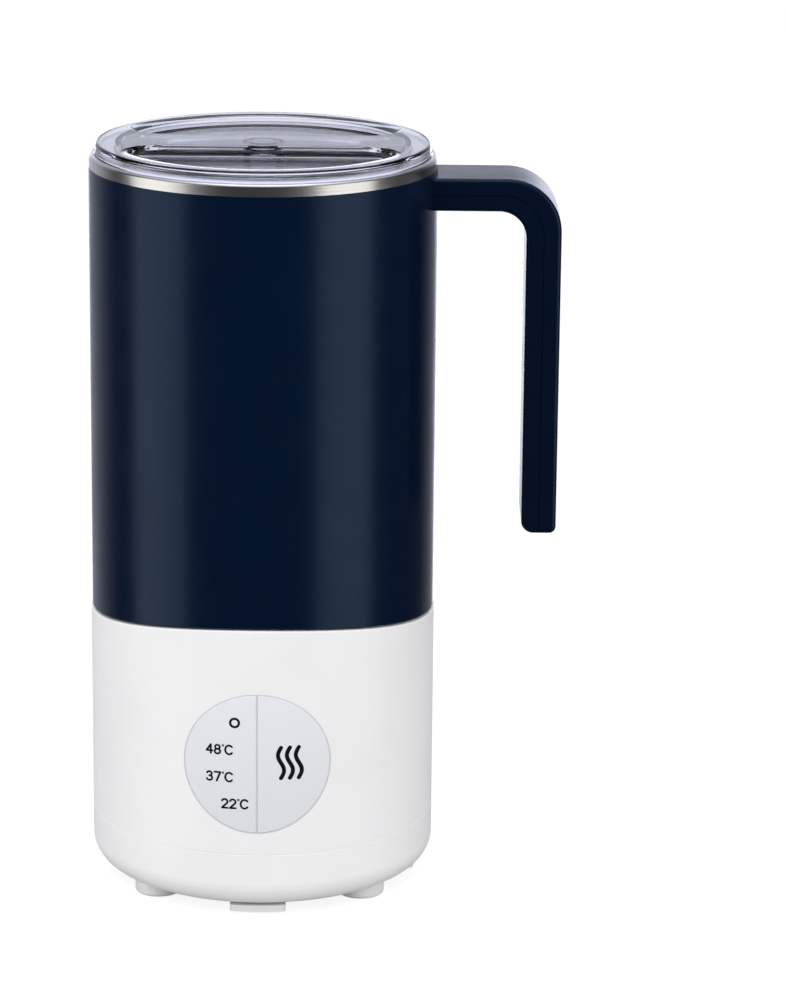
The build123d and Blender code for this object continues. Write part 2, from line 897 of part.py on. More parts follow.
def button_frame():
    """Cup behind the panel opening that guides both buttons and carries the control board."""
    cup = rod(frame_radius, -base_radius, -frame_back, z=panel_height)
    cup -= rod(panel_hole, -base_radius, -frame_back - frame_plate, z=panel_height)
    cup = cup & disc(base_inner - screw_clearance, 0, rim_front)
    for side in (-1, 1):
        for x, z in guide_places(side):
            cup -= rod(guide_pin + guide_fit, -base_radius, 0, x=x, z=z)
        cup -= rod(guide_pin + clear, -base_radius, 0, x=side * guide_offset_x, z=panel_height)
    for x, z in post_places():
        cup += rod(frame_post, -frame_back - pin_root, -control_front, x=x, z=z)
        cup -= rod(screw_shank, -frame_back, -control_front, x=x, z=z)
    return cup


def control_board():
    span = (panel_height - control_half, panel_height + control_half)
    board = block((-control_half, control_half), (-control_front, -control_front + board_thickness), span)
    for x, z in post_places():
        board -= rod(screw_shank + screw_clearance, -control_front, 0, x=x, z=z)
    return board


def control_screws():
    rear = -control_front + board_thickness
    screws = []
    for x, z in post_places():
        head = rod(small_screw_head, rear, rear + small_head_height, x=x, z=z)
        slot = rod(small_screw_head / 2, rear + small_head_height / 2, rear + small_head_height, x=x, z=z)
        screws.append(head - slot + rod(thread_radius, -frame_back + seat_fit, rear, x=x, z=z))
    return group(screws)


def tact_switches():
    half = switch_size / 2
    switches = []
    for side in (-1, 1):
        x = side * guide_offset_x
        body = block((x - half, x + half), (-control_front - switch_height, -control_front),
                     (panel_height - half, panel_height + half))
        switches.append(body + rod(plunger_radius, -plunger_tip, -control_front - clear, x=x, z=panel_height))
    return group(switches)


def indicator_leds():
    leds = []
    for level in spread_line(led_count, led_pitch):
        led = rod(led_radius, -control_front - led_length, -control_front, x=-led_offset,
                  z=panel_height + level)
        leds.append(fillet(led.edges().group_by(Axis.Y)[0], led_dome))
    return group(leds)


def spread_line(count, pitch):
    """Places in a row about zero."""
    return [pitch * (index - (count - 1) / 2) for index in range(count)]


# ---- Jug
def jug_shell():
    shell = ring(jug_radius, jug_radius - shell_wall, seat_height, shell_top) - arch(arch_radius + jug_gap)
    lower_edges = [edge for edge in shell.edges() if edge.center().Z < shell_top - clear]
    return fillet(lower_edges, rim_edge)


def steel_vessel():
    outside = fillet(lowest(disc(vessel_outer, vessel_bottom, band_top)), vessel_corner + vessel_wall)
    inside = fillet(lowest(disc(vessel_radius, vessel_floor, band_top)), vessel_corner)
    rim = fillet(highest(disc(jug_radius, shell_top, band_top)), rim_round)
    rim -= ring(jug_radius - vessel_wall, vessel_outer, shell_top, band_top - vessel_wall)
    return outside + rim - inside


def vessel_base_disc():
    return disc(base_disc_radius, disc_bottom, vessel_bottom)


def jug_base_ring():
    body = fillet(lowest(disc(jug_ring_radius, seat_height, jug_ring_top)), jug_ring_round)
    body += disc(shell_inner - glue_gap, jug_ring_top - jug_ring_flange, jug_ring_top)
    body -= disc(jug_ring_radius - jug_ring_wall, vessel_bottom, jug_ring_top)
    return body - disc(base_disc_radius + seat_fit, seat_height, vessel_bottom)


def rim_gasket():
    """Foam ring that fills the space between vessel and shell under the steel rim."""
    inner = vessel_outer + glue_gap
    upper = ring(jug_radius - vessel_wall - glue_gap, inner, shell_top, band_top - vessel_wall)
    return ring(shell_inner - glue_gap, inner, shell_top - gasket_depth, shell_top) + upper


# ---- Handle
def ell(outer_x, top_z, inner_x, low_z, tip_z, outer_corner, inner_corner, root_x):
    """L-shaped face in the XZ plane."""
    corners = [(root_x, top_z), (outer_x, top_z), (outer_x, tip_z), (inner_x, tip_z), (inner_x, low_z),
               (root_x, low_z)]
    face = Face(Wire.make_polygon([Vector(x, 0, z) for x, z in corners]))
    for x, z, radius in ((outer_x, top_z, outer_corner), (inner_x, low_z, inner_corner)):
        corner = face.vertices().sort_by_distance(Vector(x, 0, z))[0]
        face = fillet(corner, radius)
    return face


def thick(face, half_width):
    return extrude(face, amount=half_width, dir=(0, 1, 0), both=True)


def handle_body():
    face = ell(handle_reach, handle_top, inner_x, under_z, handle_tip, handle_outer_corner,
               handle_inner_corner, shell_inner)
    body = thick(face, handle_width / 2)
    for side_x, radius in ((inner_x, tip_inner_round), (handle_reach, tip_outer_round)):
        tip_edge = lowest(body).filter_by(Axis.Y).sort_by_distance(Vector(side_x, 0, handle_tip))[0]
        body = fillet(tip_edge, radius)
    side_edges = [edge for edge in body.edges() if abs(edge.center().Y) > handle_width / 2 - press_gap
                  and edge.center().X > shell_inner + clear]
    body = fillet(side_edges, handle_edge)
    return body - disc(jug_radius, vessel_bottom, band_top)


def handle_cavity():
    tip_round = max(tip_inner_round, tip_outer_round)
    face = ell(handle_reach - handle_wall, handle_top - handle_wall, inner_x + handle_wall,
               under_z + handle_wall, handle_tip + tip_round, handle_outer_corner - handle_wall,
               handle_inner_corner - handle_wall, jug_radius + handle_wall)
    return thick(face, handle_width / 2 - handle_wall)


def handle_inner_side(grow=0.0):
    """Block on the jug's side of the handle's parting surface."""
    corner = (handle_outer_corner + handle_inner_corner) / 2
    side_x = split_x + grow
    side_z = split_z + grow
    points = [(0, handle_tip - clear), (side_x, handle_tip - clear), (side_x, side_z), (0, side_z)]
    face = Face(Wire.make_polygon([Vector(x, 0, z) for x, z in points]))
    vertex = face.vertices().sort_by_distance(Vector(side_x, 0, side_z))[0]
    return thick(fillet(vertex, corner + grow), handle_width)


def handle_groove_cut():
    """Narrow groove that marks the parting line on the handle's sides."""
    half = handle_width / 2 - handle_groove
    line = handle_inner_side(handle_groove / 2) - handle_inner_side(-handle_groove / 2)
    return line - block((0, handle_reach + clear), (-half, half), (0, handle_top))


def bracket_slot():
    """Opening in the root of the arm that lets the bracket in."""
    half = bracket_width / 2 + screw_clearance
    return block((shell_inner, jug_radius + handle_wall + clear), (-half, half),
                 (bar_bottom - screw_clearance, bar_top_face + screw_clearance))


def handle_outer_shell():
    shell = handle_body() - handle_cavity() - handle_inner_side()
    for x in handle_screw_places:
        shell += pillar(handle_boss, (x, 0), bar_top_face, handle_top - handle_wall + press_gap)
        shell -= pillar(screw_shank, (x, 0), bar_top_face, handle_top - handle_roof)
    return shell - handle_groove_cut() - bracket_slot()


def handle_inner_shell():
    shell = (handle_body() - handle_cavity()) & handle_inner_side()
    for x in handle_screw_places:
        shell += pillar(handle_boss, (x, 0), under_z + handle_wall - press_gap, bar_bottom)
    for x in handle_screw_places:
        shell -= pillar(screw_head + screw_clearance, (x, 0), under_z, under_z + handle_head_depth)
        shell -= pillar(screw_shank + screw_clearance, (x, 0), under_z, bar_bottom)
    return shell - handle_groove_cut() - bracket_slot()


def handle_bracket():
    half = bracket_width / 2
    tip = handle_screw_places[-1] + handle_boss
    bar = block((shell_inner, tip), (-half, half), (bar_bottom, bar_top_face))
    bar -= disc(jug_radius, vessel_bottom, band_top)
    bar = fillet(bar.edges().filter_by(Axis.Z).sort_by(Axis.X)[-2:], bracket_corner)
    for x in handle_screw_places:
        bar -= pillar(screw_shank + screw_clearance, (x, 0), bar_bottom, bar_top_face)
    return bar


def handle_screws():
    head_bottom = under_z + handle_head_depth - handle_head_height
    return group([rising_screw((x, 0), head_bottom, handle_head_height, handle_top - handle_roof - seat_fit)
                  for x in handle_screw_places])


# ---- Lid
def recess(side):
    """D-shaped finger recess beside the bar, with a rounded foot."""
    keep = block((-lid_radius, lid_radius), sorted((side * bar_width / 2, side * lid_radius)),
                 (recess_floor, lid_top + clear))
    dee = disc(recess_radius, recess_floor, lid_top + clear) & keep
    dee = fillet(dee.edges().filter_by(Axis.Z), recess_corner)
    return fillet(lowest(dee), recess_foot)


def lid_body():
    plate = disc(lid_radius, band_top, lid_top)
    plate = fillet(highest(plate), lid_edge)
    for side in (-1, 1):
        plate -= recess(side)
    brim = [edge for edge in highest(plate) if reach(edge) < recess_radius + clear]
    plate = fillet(brim, recess_edge)
    plate += disc(lid_plug_radius, plug_bottom, band_top)
    plate -= disc(lid_plug_radius - lid_plug_wall, plug_bottom, lid_underside)

    cavity_half = bar_width / 2 - bar_wall
    cavity = block((-recess_radius, recess_radius), (-cavity_half, cavity_half),
                   (lid_underside, bar_underside))
    plate -= cavity & disc(lid_plug_radius - lid_plug_wall, lid_underside, bar_underside)
    plate -= ring(hollow_outer, hollow_inner, band_top, band_top + hollow_depth)
    plate -= ring(lid_plug_radius, lid_plug_radius - seal_depth, seal_bottom, seal_bottom + seal_height)
    plate += disc(boss_radius, boss_bottom, bar_underside)
    return plate - disc(boss_bore, boss_bottom, bar_underside)


def lid_seal():
    """Soft ring in the plug's groove, with thin lips that touch the vessel's wall lightly."""
    bottom = seal_bottom + press_gap
    height = seal_height - 2 * press_gap
    body = ring(lid_plug_radius, lid_plug_radius - seal_depth + press_gap, bottom, bottom + height)
    for level in (1, 3):
        low = bottom + level * height / 5
        body += ring(lid_plug_radius + seal_reach, lid_plug_radius - press_gap, low, low + height / 5)
    return body


def stem_bush():
    return ring(boss_bore - bush_fit, stem_radius + stem_fit, bush_bottom, bush_top)


# ---- Whisk
def whisk_stem():
    stem = fillet(highest(disc(stem_radius, stem_bottom, stem_top)), stem_round)
    return stem + disc(collar_radius, collar_top - collar_height, collar_top)


def stem_clip():
    clip_top = clip_bottom + clip_thickness
    clip = ring(clip_radius, stem_radius, clip_bottom, clip_top)
    return clip - block((-clip_mouth, clip_mouth), (0, clip_radius + clear), (clip_bottom, clip_top))


def whisk_paddle():
    hub = fillet(highest(disc(whisk_hub_radius, hub_bottom, hub_top)), whisk_hub_round)
    hub += disc(stem_radius + whisk_neck_wall, hub_top - clear, hub_top + whisk_neck)
    root = stem_radius + whisk_neck_wall / 2
    tip = paddle_radius - paddle_ring / 2
    vane = Box(tip, paddle_thickness, 2 * paddle_height, align=(Align.MIN, Align.CENTER, Align.CENTER))
    vane = Pos(root, 0, hub_bottom + paddle_height / 2) * Rot(paddle_tilt, 0, 0) * vane
    vane = vane & disc(tip, stem_bottom, hub_bottom + paddle_height)
    for angle in spread(paddle_count):
        hub += Rot(0, 0, angle) * vane
    ring_bottom = stem_bottom + stem_seat
    hub += ring(paddle_radius, paddle_radius - paddle_ring, ring_bottom, ring_bottom + paddle_ring_height)
    hub -= disc(stem_radius, stem_bottom, hub_top + whisk_neck)
    for place in drive_magnet_places():
        hub -= pillar(magnet_radius, place, hub_bottom, hub_bottom + magnet_height)
    return hub


def whisk_magnets():
    return group([pillar(magnet_radius - press_gap, place, hub_bottom + press_gap, hub_bottom + magnet_height)
                  for place in drive_magnet_places()])


def magnet_cover():
    return fillet(lowest(disc(whisk_hub_radius, whisk_bottom, hub_bottom)), cover_round)


pieces = [
    base_housing, bottom_cover, rubber_feet, cord_winder, cover_screws, winder_screws, cord_gland,
    jug_seat_plate, seat_seal, mica_disc, induction_coil, ferrite_bars, coil_carrier,
    temperature_sensor, sensor_holder, sensor_spring,
    motor_can, motor_bracket, motor_screws, bracket_screws, motor_shaft, magnet_holder, drive_magnets,
    fan_frame, fan_rotor, power_board, board_screws, bulk_capacitors, resonant_capacitor, choke_coil,
    heatsink, power_transistor,
    button_left, button_right, button_frame, control_board, control_screws, tact_switches, indicator_leds,
    jug_shell, steel_vessel, vessel_base_disc, jug_base_ring, rim_gasket,
    handle_outer_shell, handle_inner_shell, handle_bracket, handle_screws,
    lid_body, lid_seal, stem_bush, whisk_stem, stem_clip, whisk_paddle, whisk_magnets, magnet_cover,
]

os.makedirs("parts", exist_ok=True)
for piece in pieces:
    export_step(group([piece()]), f"parts/{piece.__name__}.step")
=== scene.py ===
"""Baby formula maker: a navy insulated jug with a clear lid and a whisk, on a white heating base.

The file is laid out as an add-on and run as a script. Each operator dresses one group of pieces.
"""

import math

import bmesh
import bpy
from mathutils import Matrix, Vector


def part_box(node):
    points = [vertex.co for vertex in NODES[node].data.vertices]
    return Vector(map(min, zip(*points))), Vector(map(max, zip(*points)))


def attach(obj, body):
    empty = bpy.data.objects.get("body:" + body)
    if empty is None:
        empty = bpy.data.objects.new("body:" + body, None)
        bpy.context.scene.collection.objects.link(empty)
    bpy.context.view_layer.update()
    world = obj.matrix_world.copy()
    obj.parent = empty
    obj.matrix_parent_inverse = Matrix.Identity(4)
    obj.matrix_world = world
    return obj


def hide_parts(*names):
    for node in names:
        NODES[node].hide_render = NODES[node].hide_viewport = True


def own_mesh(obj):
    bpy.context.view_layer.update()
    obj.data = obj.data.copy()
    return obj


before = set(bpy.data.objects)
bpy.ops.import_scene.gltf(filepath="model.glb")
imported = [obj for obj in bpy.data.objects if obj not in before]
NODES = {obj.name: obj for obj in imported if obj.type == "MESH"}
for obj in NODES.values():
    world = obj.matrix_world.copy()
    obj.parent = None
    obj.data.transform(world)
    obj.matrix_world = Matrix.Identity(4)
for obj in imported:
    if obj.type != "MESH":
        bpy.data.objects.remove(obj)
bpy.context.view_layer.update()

bl_info = {
    "name": "Baby formula maker",
    "version": (1, 0, 0),
    "blender": (4, 5, 0),
    "location": "View3D > Sidebar > Formula maker",
    "description": "Finishes, panel marks and studio for the formula maker",
    "category": "Object",
}

MM = 0.001


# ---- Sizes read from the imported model
def middle_of(node):
    """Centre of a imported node's box."""
    low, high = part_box(node)
    return (low + high) / 2


def face_radius():
    """Radius of the casing's round wall, which the panel's face follows."""
    low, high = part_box("bottom_cover")
    return (high.x - low.x) / 2


# ---- Wiring materials
CLOUD_ROUGHNESS = 0.55
BLOTCH = 0.03
HAND_MARK = 0.012


def add_node(tree, kind, inputs=None, **settings):
    """Adds a node; an input is either a value or the socket that feeds it."""
    made = tree.nodes.new(kind)
    for key, value in settings.items():
        setattr(made, key, value)
    for key, value in (inputs or {}).items():
        if isinstance(value, bpy.types.NodeSocket):
            tree.links.new(value, made.inputs[key])
        else:
            made.inputs[key].default_value = value
    return made


def emptied(owner):
    """The node tree of a material or of the world, with nothing in it yet."""
    owner.use_nodes = True
    owner.node_tree.nodes.clear()
    return owner.node_tree


def stretched(tree, where, stretch):
    """Position stretched along each axis."""
    return add_node(tree, "ShaderNodeMapping", {"Vector": where, "Scale": stretch}).outputs[0]


def clouds(tree, where, size, detail=3.0):
    """Soft random shading whose blotches are about this many metres across."""
    inputs = {"Vector": where, "Scale": 1.0 / size, "Detail": detail, "Roughness": CLOUD_ROUGHNESS}
    return add_node(tree, "ShaderNodeTexNoise", inputs).outputs["Fac"]


def between(tree, amount, low, high, start=0.3, end=0.7):
    """Turns a 0 to 1 value into one from low to high."""
    inputs = {"Value": amount, "From Min": start, "From Max": end, "To Min": low, "To Max": high}
    return add_node(tree, "ShaderNodeMapRange", inputs).outputs[0]


def blend(tree, amount, first, second):
    """Value that runs from first to second."""
    return add_node(tree, "ShaderNodeMix", {0: amount, 2: first, 3: second}).outputs[0]


def tint(tree, amount, first, second):
    """Colour that runs from first to second."""
    inputs = {0: amount, 6: (*first, 1.0), 7: (*second, 1.0)}
    return add_node(tree, "ShaderNodeMix", inputs, data_type="RGBA").outputs[2]


def relief(tree, height, depth):
    """Bumps of this depth in metres."""
    return add_node(tree, "ShaderNodeBump", {"Height": height, "Distance": depth, "Strength": 1.0}).outputs[0]


def new_finish(name):
    """An empty material, its node tree and the position on the piece."""
    material = bpy.data.materials.new(name)
    tree = emptied(material)
    return material, tree, add_node(tree, "ShaderNodeTexCoord").outputs["Object"]


def finish(material, inputs):
    """Ends a material with its shader and hands it back."""
    tree = material.node_tree
    shader = add_node(tree, "ShaderNodeBsdfPrincipled", inputs)
    add_node(tree, "ShaderNodeOutputMaterial", {"Surface": shader.outputs[0]})
    return material


def darker(colour, share):
    """The colour with this share of its light taken away."""
    return tuple(max(0.0, value * (1.0 - share)) for value in colour)


# ---- Finishes
def moulded_plastic(name, colour, roughness=0.4, grain=0.0006, depth=0.000012, cloud=0.04, level=0.5,
                    gloss=(1.0, 1.0, 1.0)):
    """Moulded plastic or paint: a fine grain, faint clouds in its colour and hand marks in its gloss."""
    material, tree, where = new_finish(name)
    coarse = clouds(tree, where, BLOTCH)
    fine = clouds(tree, where, grain, detail=2.0)
    rubbed = clouds(tree, where, HAND_MARK, detail=4.0)
    return finish(material, {
        "Base Color": tint(tree, between(tree, coarse, 0.0, 1.0), darker(colour, cloud), colour),
        "Roughness": between(tree, rubbed, roughness - 0.03, roughness + 0.03),
        "Specular IOR Level": level,
        "Specular Tint": (*gloss, 1.0),
        "Normal": relief(tree, fine, depth),
    })


def panel_with_painted_shade(name, panel_top_colour, painted_shade_colour, bottom, top):
    """Satin plastic with painted shade: its colour darkens a little from the panel's top to its bottom."""
    material, tree, where = new_finish(name)
    height = add_node(tree, "ShaderNodeSeparateXYZ", {0: where}).outputs["Z"]
    fine = clouds(tree, where, 0.0004, detail=2.0)
    rubbed = clouds(tree, where, HAND_MARK, detail=4.0)
    return finish(material, {
        # Painted shade: the colour runs from the panel's own colour at the top to a darker one at the bottom.
        "Base Color": tint(tree, between(tree, height, 0.0, 1.0, bottom, top), painted_shade_colour, panel_top_colour),
        "Roughness": between(tree, rubbed, 0.33, 0.39),
        "Normal": relief(tree, fine, 0.000006),
    })


def brushed_steel(name, colour, roughness, stretch=(25.0, 25.0, 2600.0), turned=True):
    """Metal brushed in one direction, with streaks of slightly different gloss."""
    material, tree, where = new_finish(name)
    streaks = clouds(tree, stretched(tree, where, stretch), 1.0, detail=4.0)
    soft = clouds(tree, where, 0.02)
    inputs = {
        "Base Color": tint(tree, between(tree, streaks, 0.0, 1.0), darker(colour, 0.12), colour),
        "Metallic": 1.0,
        "Roughness": between(tree, soft, roughness - 0.04, roughness + 0.05),
        "Normal": relief(tree, streaks, 0.000004),
        "Anisotropic": 0.5,
    }
    if turned:
        inputs["Tangent"] = add_node(tree, "ShaderNodeTangent", direction_type="RADIAL", axis="Z").outputs[0]
    return finish(material, inputs)


def soft_rubber(name, colour, roughness=0.62):
    """Rubber or silicone: matt, with a dusty bloom and a coarse skin."""
    material, tree, where = new_finish(name)
    dust = clouds(tree, where, 0.004, detail=5.0)
    skin = clouds(tree, where, 0.0005)
    return finish(material, {
        "Base Color": tint(tree, between(tree, dust, 0.0, 1.0), darker(colour, 0.1), colour),
        "Roughness": between(tree, dust, roughness - 0.06, roughness + 0.06),
        "Specular IOR Level": 0.35,
        "Normal": relief(tree, skin, 0.00002),
    })


def plated_metal(name, colour, roughness):
    """Plated or turned metal with a slightly uneven shine."""
    material, tree, where = new_finish(name)
    cloudy = clouds(tree, where, 0.002, detail=4.0)
    fine = clouds(tree, where, 0.0002)
    return finish(material, {
        "Base Color": tint(tree, between(tree, cloudy, 0.0, 1.0), darker(colour, 0.15), colour),
        "Metallic": 1.0,
        "Roughness": between(tree, cloudy, roughness - 0.06, roughness + 0.08),
        "Normal": relief(tree, fine, 0.000004),
    })


def clear_plastic(name, colour, roughness=0.02):
    """Clear moulded plastic with the faint waves that moulding leaves in its surface."""
    material, tree, where = new_finish(name)
    waves = clouds(tree, where, 0.018, detail=1.0)
    smears = clouds(tree, where, 0.01, detail=4.0)
    return finish(material, {
        "Base Color": (*colour, 1.0),
        "Roughness": between(tree, smears, 0.0, roughness),
        "IOR": 1.49,
        "Transmission Weight": 1.0,
        "Normal": relief(tree, waves, 0.00002),
    })


def wound_copper(name, colour):
    """Enamelled copper wire: fine turns under a clear varnish, with painted shade darkening the grooves
    between them.
    """
    material, tree, where = new_finish(name)
    turns = add_node(tree, "ShaderNodeTexWave", {
        "Vector": where, "Scale": 260.0, "Distortion": 1.5, "Detail": 1.0,
    }, wave_type="RINGS", rings_direction="Z").outputs["Fac"]
    return finish(material, {
        # Painted shade: the colour darkens in the grooves between the turns, where the bump is lowest.
        "Base Color": tint(tree, turns, darker(colour, 0.45), colour),
        "Metallic": 0.85,
        "Roughness": between(tree, turns, 0.3, 0.45, 0.0, 1.0),
        "Coat Weight": 0.5,
        "Coat Roughness": 0.15,
        "Normal": relief(tree, turns, 0.0001),
    })


def circuit_board(name, colour):
    """Green board with paler tracks under its mask."""
    material, tree, where = new_finish(name)
    tracks = add_node(tree, "ShaderNodeTexVoronoi", {
        "Vector": where, "Scale": 170.0,
    }, distance="MANHATTAN", feature="F2").outputs["Distance"]
    lines = between(tree, tracks, 0.0, 1.0, 0.62, 0.7)
    return finish(material, {
        "Base Color": tint(tree, lines, colour, tuple(min(1.0, value * 2.2 + 0.02) for value in colour)),
        "Roughness": between(tree, lines, 0.32, 0.42, 0.0, 1.0),
        "Normal": relief(tree, lines, 0.00003),
    })


def speckled(name, first, second, roughness, size, depth=0.00001):
    """A mass with grains of a second colour, such as ferrite, mica or dark ceramic."""
    material, tree, where = new_finish(name)
    cells = add_node(tree, "ShaderNodeTexVoronoi", {"Vector": where, "Scale": 1.0 / size}).outputs["Distance"]
    soft = clouds(tree, where, size * 6)
    return finish(material, {
        "Base Color": tint(tree, between(tree, cells, 0.0, 1.0, 0.1, 0.6), first, second),
        "Roughness": between(tree, soft, roughness - 0.05, roughness + 0.05),
        "Normal": relief(tree, cells, depth),
    })


def dress(material, *nodes):
    """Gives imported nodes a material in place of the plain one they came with."""
    for name in nodes:
        mesh = NODES[name].data
        mesh.materials.clear()
        mesh.materials.append(material)


# ---- Closing meshes
def join_loops(work, first, second):
    """Joins two loops of corners with faces."""
    count = len(first)
    for index in range(count):
        after = (index + 1) % count
        work.faces.new((first[index], first[after], second[after], second[index]))


def close_skin(work, loops, ring=False):
    """Joins loops one after another, then back to the first or with a cap at both ends."""
    for first, second in zip(loops, loops[1:]):
        join_loops(work, first, second)
    if ring:
        join_loops(work, loops[-1], loops[0])
        return
    work.faces.new(loops[0])
    work.faces.new(loops[-1])


def finished_piece(name, work):
    """Turns worked faces into an object with its faces turned outwards."""
    bmesh.ops.recalc_face_normals(work, faces=work.faces)
    mesh = bpy.data.meshes.new(name)
    work.to_mesh(mesh)
    work.free()
    piece = bpy.data.objects.new(name, mesh)
    bpy.context.scene.collection.objects.link(piece)
    return piece


# ---- Panel marks
INK_PROUD = 0.03 * MM
INK_SUNK = 0.02 * MM
MARK_PLACES = {"48": (-11.6, 4.6), "37": (-11.6, -4.4), "22": (-6.75, -13.2)}
RING_PLACE = (-7.0, 13.6)
WAVES_PLACE = (10.35, 0.5)
WAVE_COUNT = 3
SIGN_PLACES = (-1.47, -0.59, 0.58)
DEGREE_PLACE = 0.32
DEGREE_RADIUS = 0.38 * MM
STROKE_STEP = 0.004 * MM
RING_STEPS = 40
LINE_STEPS = 24
CAP_STEPS = 6


def on_face(x, z, proud, radius):
    """Point on the casing's round wall, this far proud of it."""
    reach = radius + proud
    return Vector((x, -math.sqrt(reach**2 - x**2), z))


def border(faces):
    """Edges that only one of the faces has."""
    edges = [edge for face in faces for edge in zip(face, face[1:] + face[:1])]
    known = set(edges)
    return [(first, second) for first, second in edges if (second, first) not in known]


def mark_piece(name, strokes, centre, ink, body):
    """Closed thin mark printed on the round wall: flat strokes in, curved body out."""
    radius = face_radius()
    work = bmesh.new()
    for count, (points, faces) in enumerate(strokes):
        skins = []
        for proud in (-INK_SUNK, INK_PROUD + count * STROKE_STEP):
            skin = [work.verts.new(on_face(x + centre[0], z + centre[1], proud, radius)) for x, z in points]
            for face in faces:
                work.faces.new([skin[index] for index in face])
            skins.append(skin)
        for first, second in border(faces):
            work.faces.new((skins[0][first], skins[0][second], skins[1][second], skins[1][first]))
    piece = finished_piece(name, work)
    piece.data.materials.append(ink)
    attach(piece, body)


def bend(middle, reach, start, end):
    """Points along part of an ellipse, with its angles in degrees."""
    points = []
    for step in range(LINE_STEPS + 1):
        angle = math.radians(start + (end - start) * step / LINE_STEPS)
        points.append((middle[0] + reach[0] * math.cos(angle), middle[1] + reach[1] * math.sin(angle)))
    return points


FIGURE_LINES = {
    "2": [bend((0.3, 0.72), (0.3, 0.28), 165, -38) + [(0.0, 0.0)], [(0.0, 0.0), (0.62, 0.0)]],
    "3": [bend((0.3, 0.76), (0.26, 0.24), 160, -90), bend((0.3, 0.27), (0.3, 0.27), 90, -160)],
    "4": [[(0.46, 1.0), (0.0, 0.3)], [(0.0, 0.3), (0.64, 0.3)], [(0.46, 1.0), (0.46, 0.0)]],
    "7": [[(0.0, 1.0), (0.62, 1.0)], [(0.62, 1.0), (0.22, 0.0)]],
    "8": [bend((0.31, 0.76), (0.25, 0.24), 0, 360), bend((0.31, 0.27), (0.3, 0.27), 0, 360)],
    "C": [bend((0.42, 0.5), (0.42, 0.5), 42, 318)],
}


def temperature_outlines(words, height, line):
    """Strokes of two figures, a small degree ring and a C, centred round the origin."""
    strokes = []
    tall = height - line
    for sign, across in zip(words + "C", SIGN_PLACES):
        for path in FIGURE_LINES[sign]:
            scaled = [((x + across) * tall, (z - 0.5) * tall) for x, z in path]
            strokes.append(stroke_outline(scaled, line))
    points, faces = ring_outline(DEGREE_RADIUS, DEGREE_RADIUS / 3)
    strokes.append(([(x + DEGREE_PLACE * tall, z + height / 2 - DEGREE_RADIUS) for x, z in points], faces))
    return strokes


def ring_outline(outer, inner):
    """Flat ring."""
    points, faces = [], []
    for step in range(RING_STEPS):
        turn = 2 * math.pi * step / RING_STEPS
        for radius in (outer, inner):
            points.append((radius * math.cos(turn), radius * math.sin(turn)))
    count = len(points)
    for step in range(RING_STEPS):
        first = 2 * step
        faces.append((first, (first + 2) % count, (first + 3) % count, first + 1))
    return points, faces


def stroke_outline(path, width):
    """Flat line of even width with round ends."""
    half = width / 2
    points, faces = [], []
    ends = []
    for index, (x, z) in enumerate(path):
        before = path[max(0, index - 1)]
        after = path[min(len(path) - 1, index + 1)]
        angle = math.atan2(after[1] - before[1], after[0] - before[0])
        ends.append(angle)
        for side in (1, -1):
            points.append((x - side * half * math.sin(angle), z + side * half * math.cos(angle)))
    for index in range(len(path) - 1):
        first = 2 * index
        faces.append((first, first + 1, first + 3, first + 2))
    for index, turn in ((0, math.pi), (len(path) - 1, 0.0)):
        middle = len(points)
        points.append(path[index])
        previous = 2 * index + (1 if turn == 0.0 else 0)
        for step in range(1, CAP_STEPS):
            angle = ends[index] + turn - math.pi / 2 + math.pi * step / CAP_STEPS
            points.append((path[index][0] + half * math.cos(angle), path[index][1] + half * math.sin(angle)))
            faces.append((middle, previous, len(points) - 1))
            previous = len(points) - 1
        faces.append((middle, previous, 2 * index + (0 if turn == 0.0 else 1)))
    return points, faces


def wave_path(swing, height):
    """Line of one rising wisp of heat."""
    path = []
    for step in range(LINE_STEPS + 1):
        share = step / LINE_STEPS
        path.append((swing * math.sin(2 * math.pi * share), height * (share - 0.5)))
    return path


# ---- Panel seal
SEAL_DEPTH = 0.12 * MM
SEAL_THICKNESS = 1.2 * MM
SEAL_GAP = 0.03 * MM
PANEL_GAP = 0.35 * MM
SEAL_STEPS = 120
SEAL_LEVELS = 40


def panel_seal():
    """A thin ring and an upright strip, both a little below the panel's face."""
    radius = face_radius()
    low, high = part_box("button_left")
    middle, panel_radius = (low.z + high.z) / 2, (high.z - low.z) / 2
    inner, outer = panel_radius + SEAL_GAP, panel_radius + PANEL_GAP - SEAL_GAP
    half = PANEL_GAP / 2 - SEAL_GAP
    section = ((inner, -SEAL_DEPTH), (outer, -SEAL_DEPTH), (outer, -SEAL_THICKNESS), (inner, -SEAL_THICKNESS))
    work = bmesh.new()
    loops = []
    for step in range(SEAL_STEPS):
        turn = 2 * math.pi * step / SEAL_STEPS
        across, up = math.cos(turn), math.sin(turn)
        loops.append([work.verts.new(on_face(reach * across, middle + reach * up, proud, radius))
                      for reach, proud in section])
    close_skin(work, loops, ring=True)
    strip = ((-half, -SEAL_DEPTH), (half, -SEAL_DEPTH), (half, -SEAL_THICKNESS), (-half, -SEAL_THICKNESS))
    loops = []
    for step in range(SEAL_LEVELS + 1):
        height = middle + inner * (2 * step / SEAL_LEVELS - 1)
        loops.append([work.verts.new(on_face(across, height, proud, radius)) for across, proud in strip])
    close_skin(work, loops)
    return finished_piece("panel_seal", work)


# ---- Probe spring
SPRING_WIRE = 0.4 * MM
SPRING_TURNS = 5.0
SPRING_STEPS = 130
SPRING_SIDES = 8


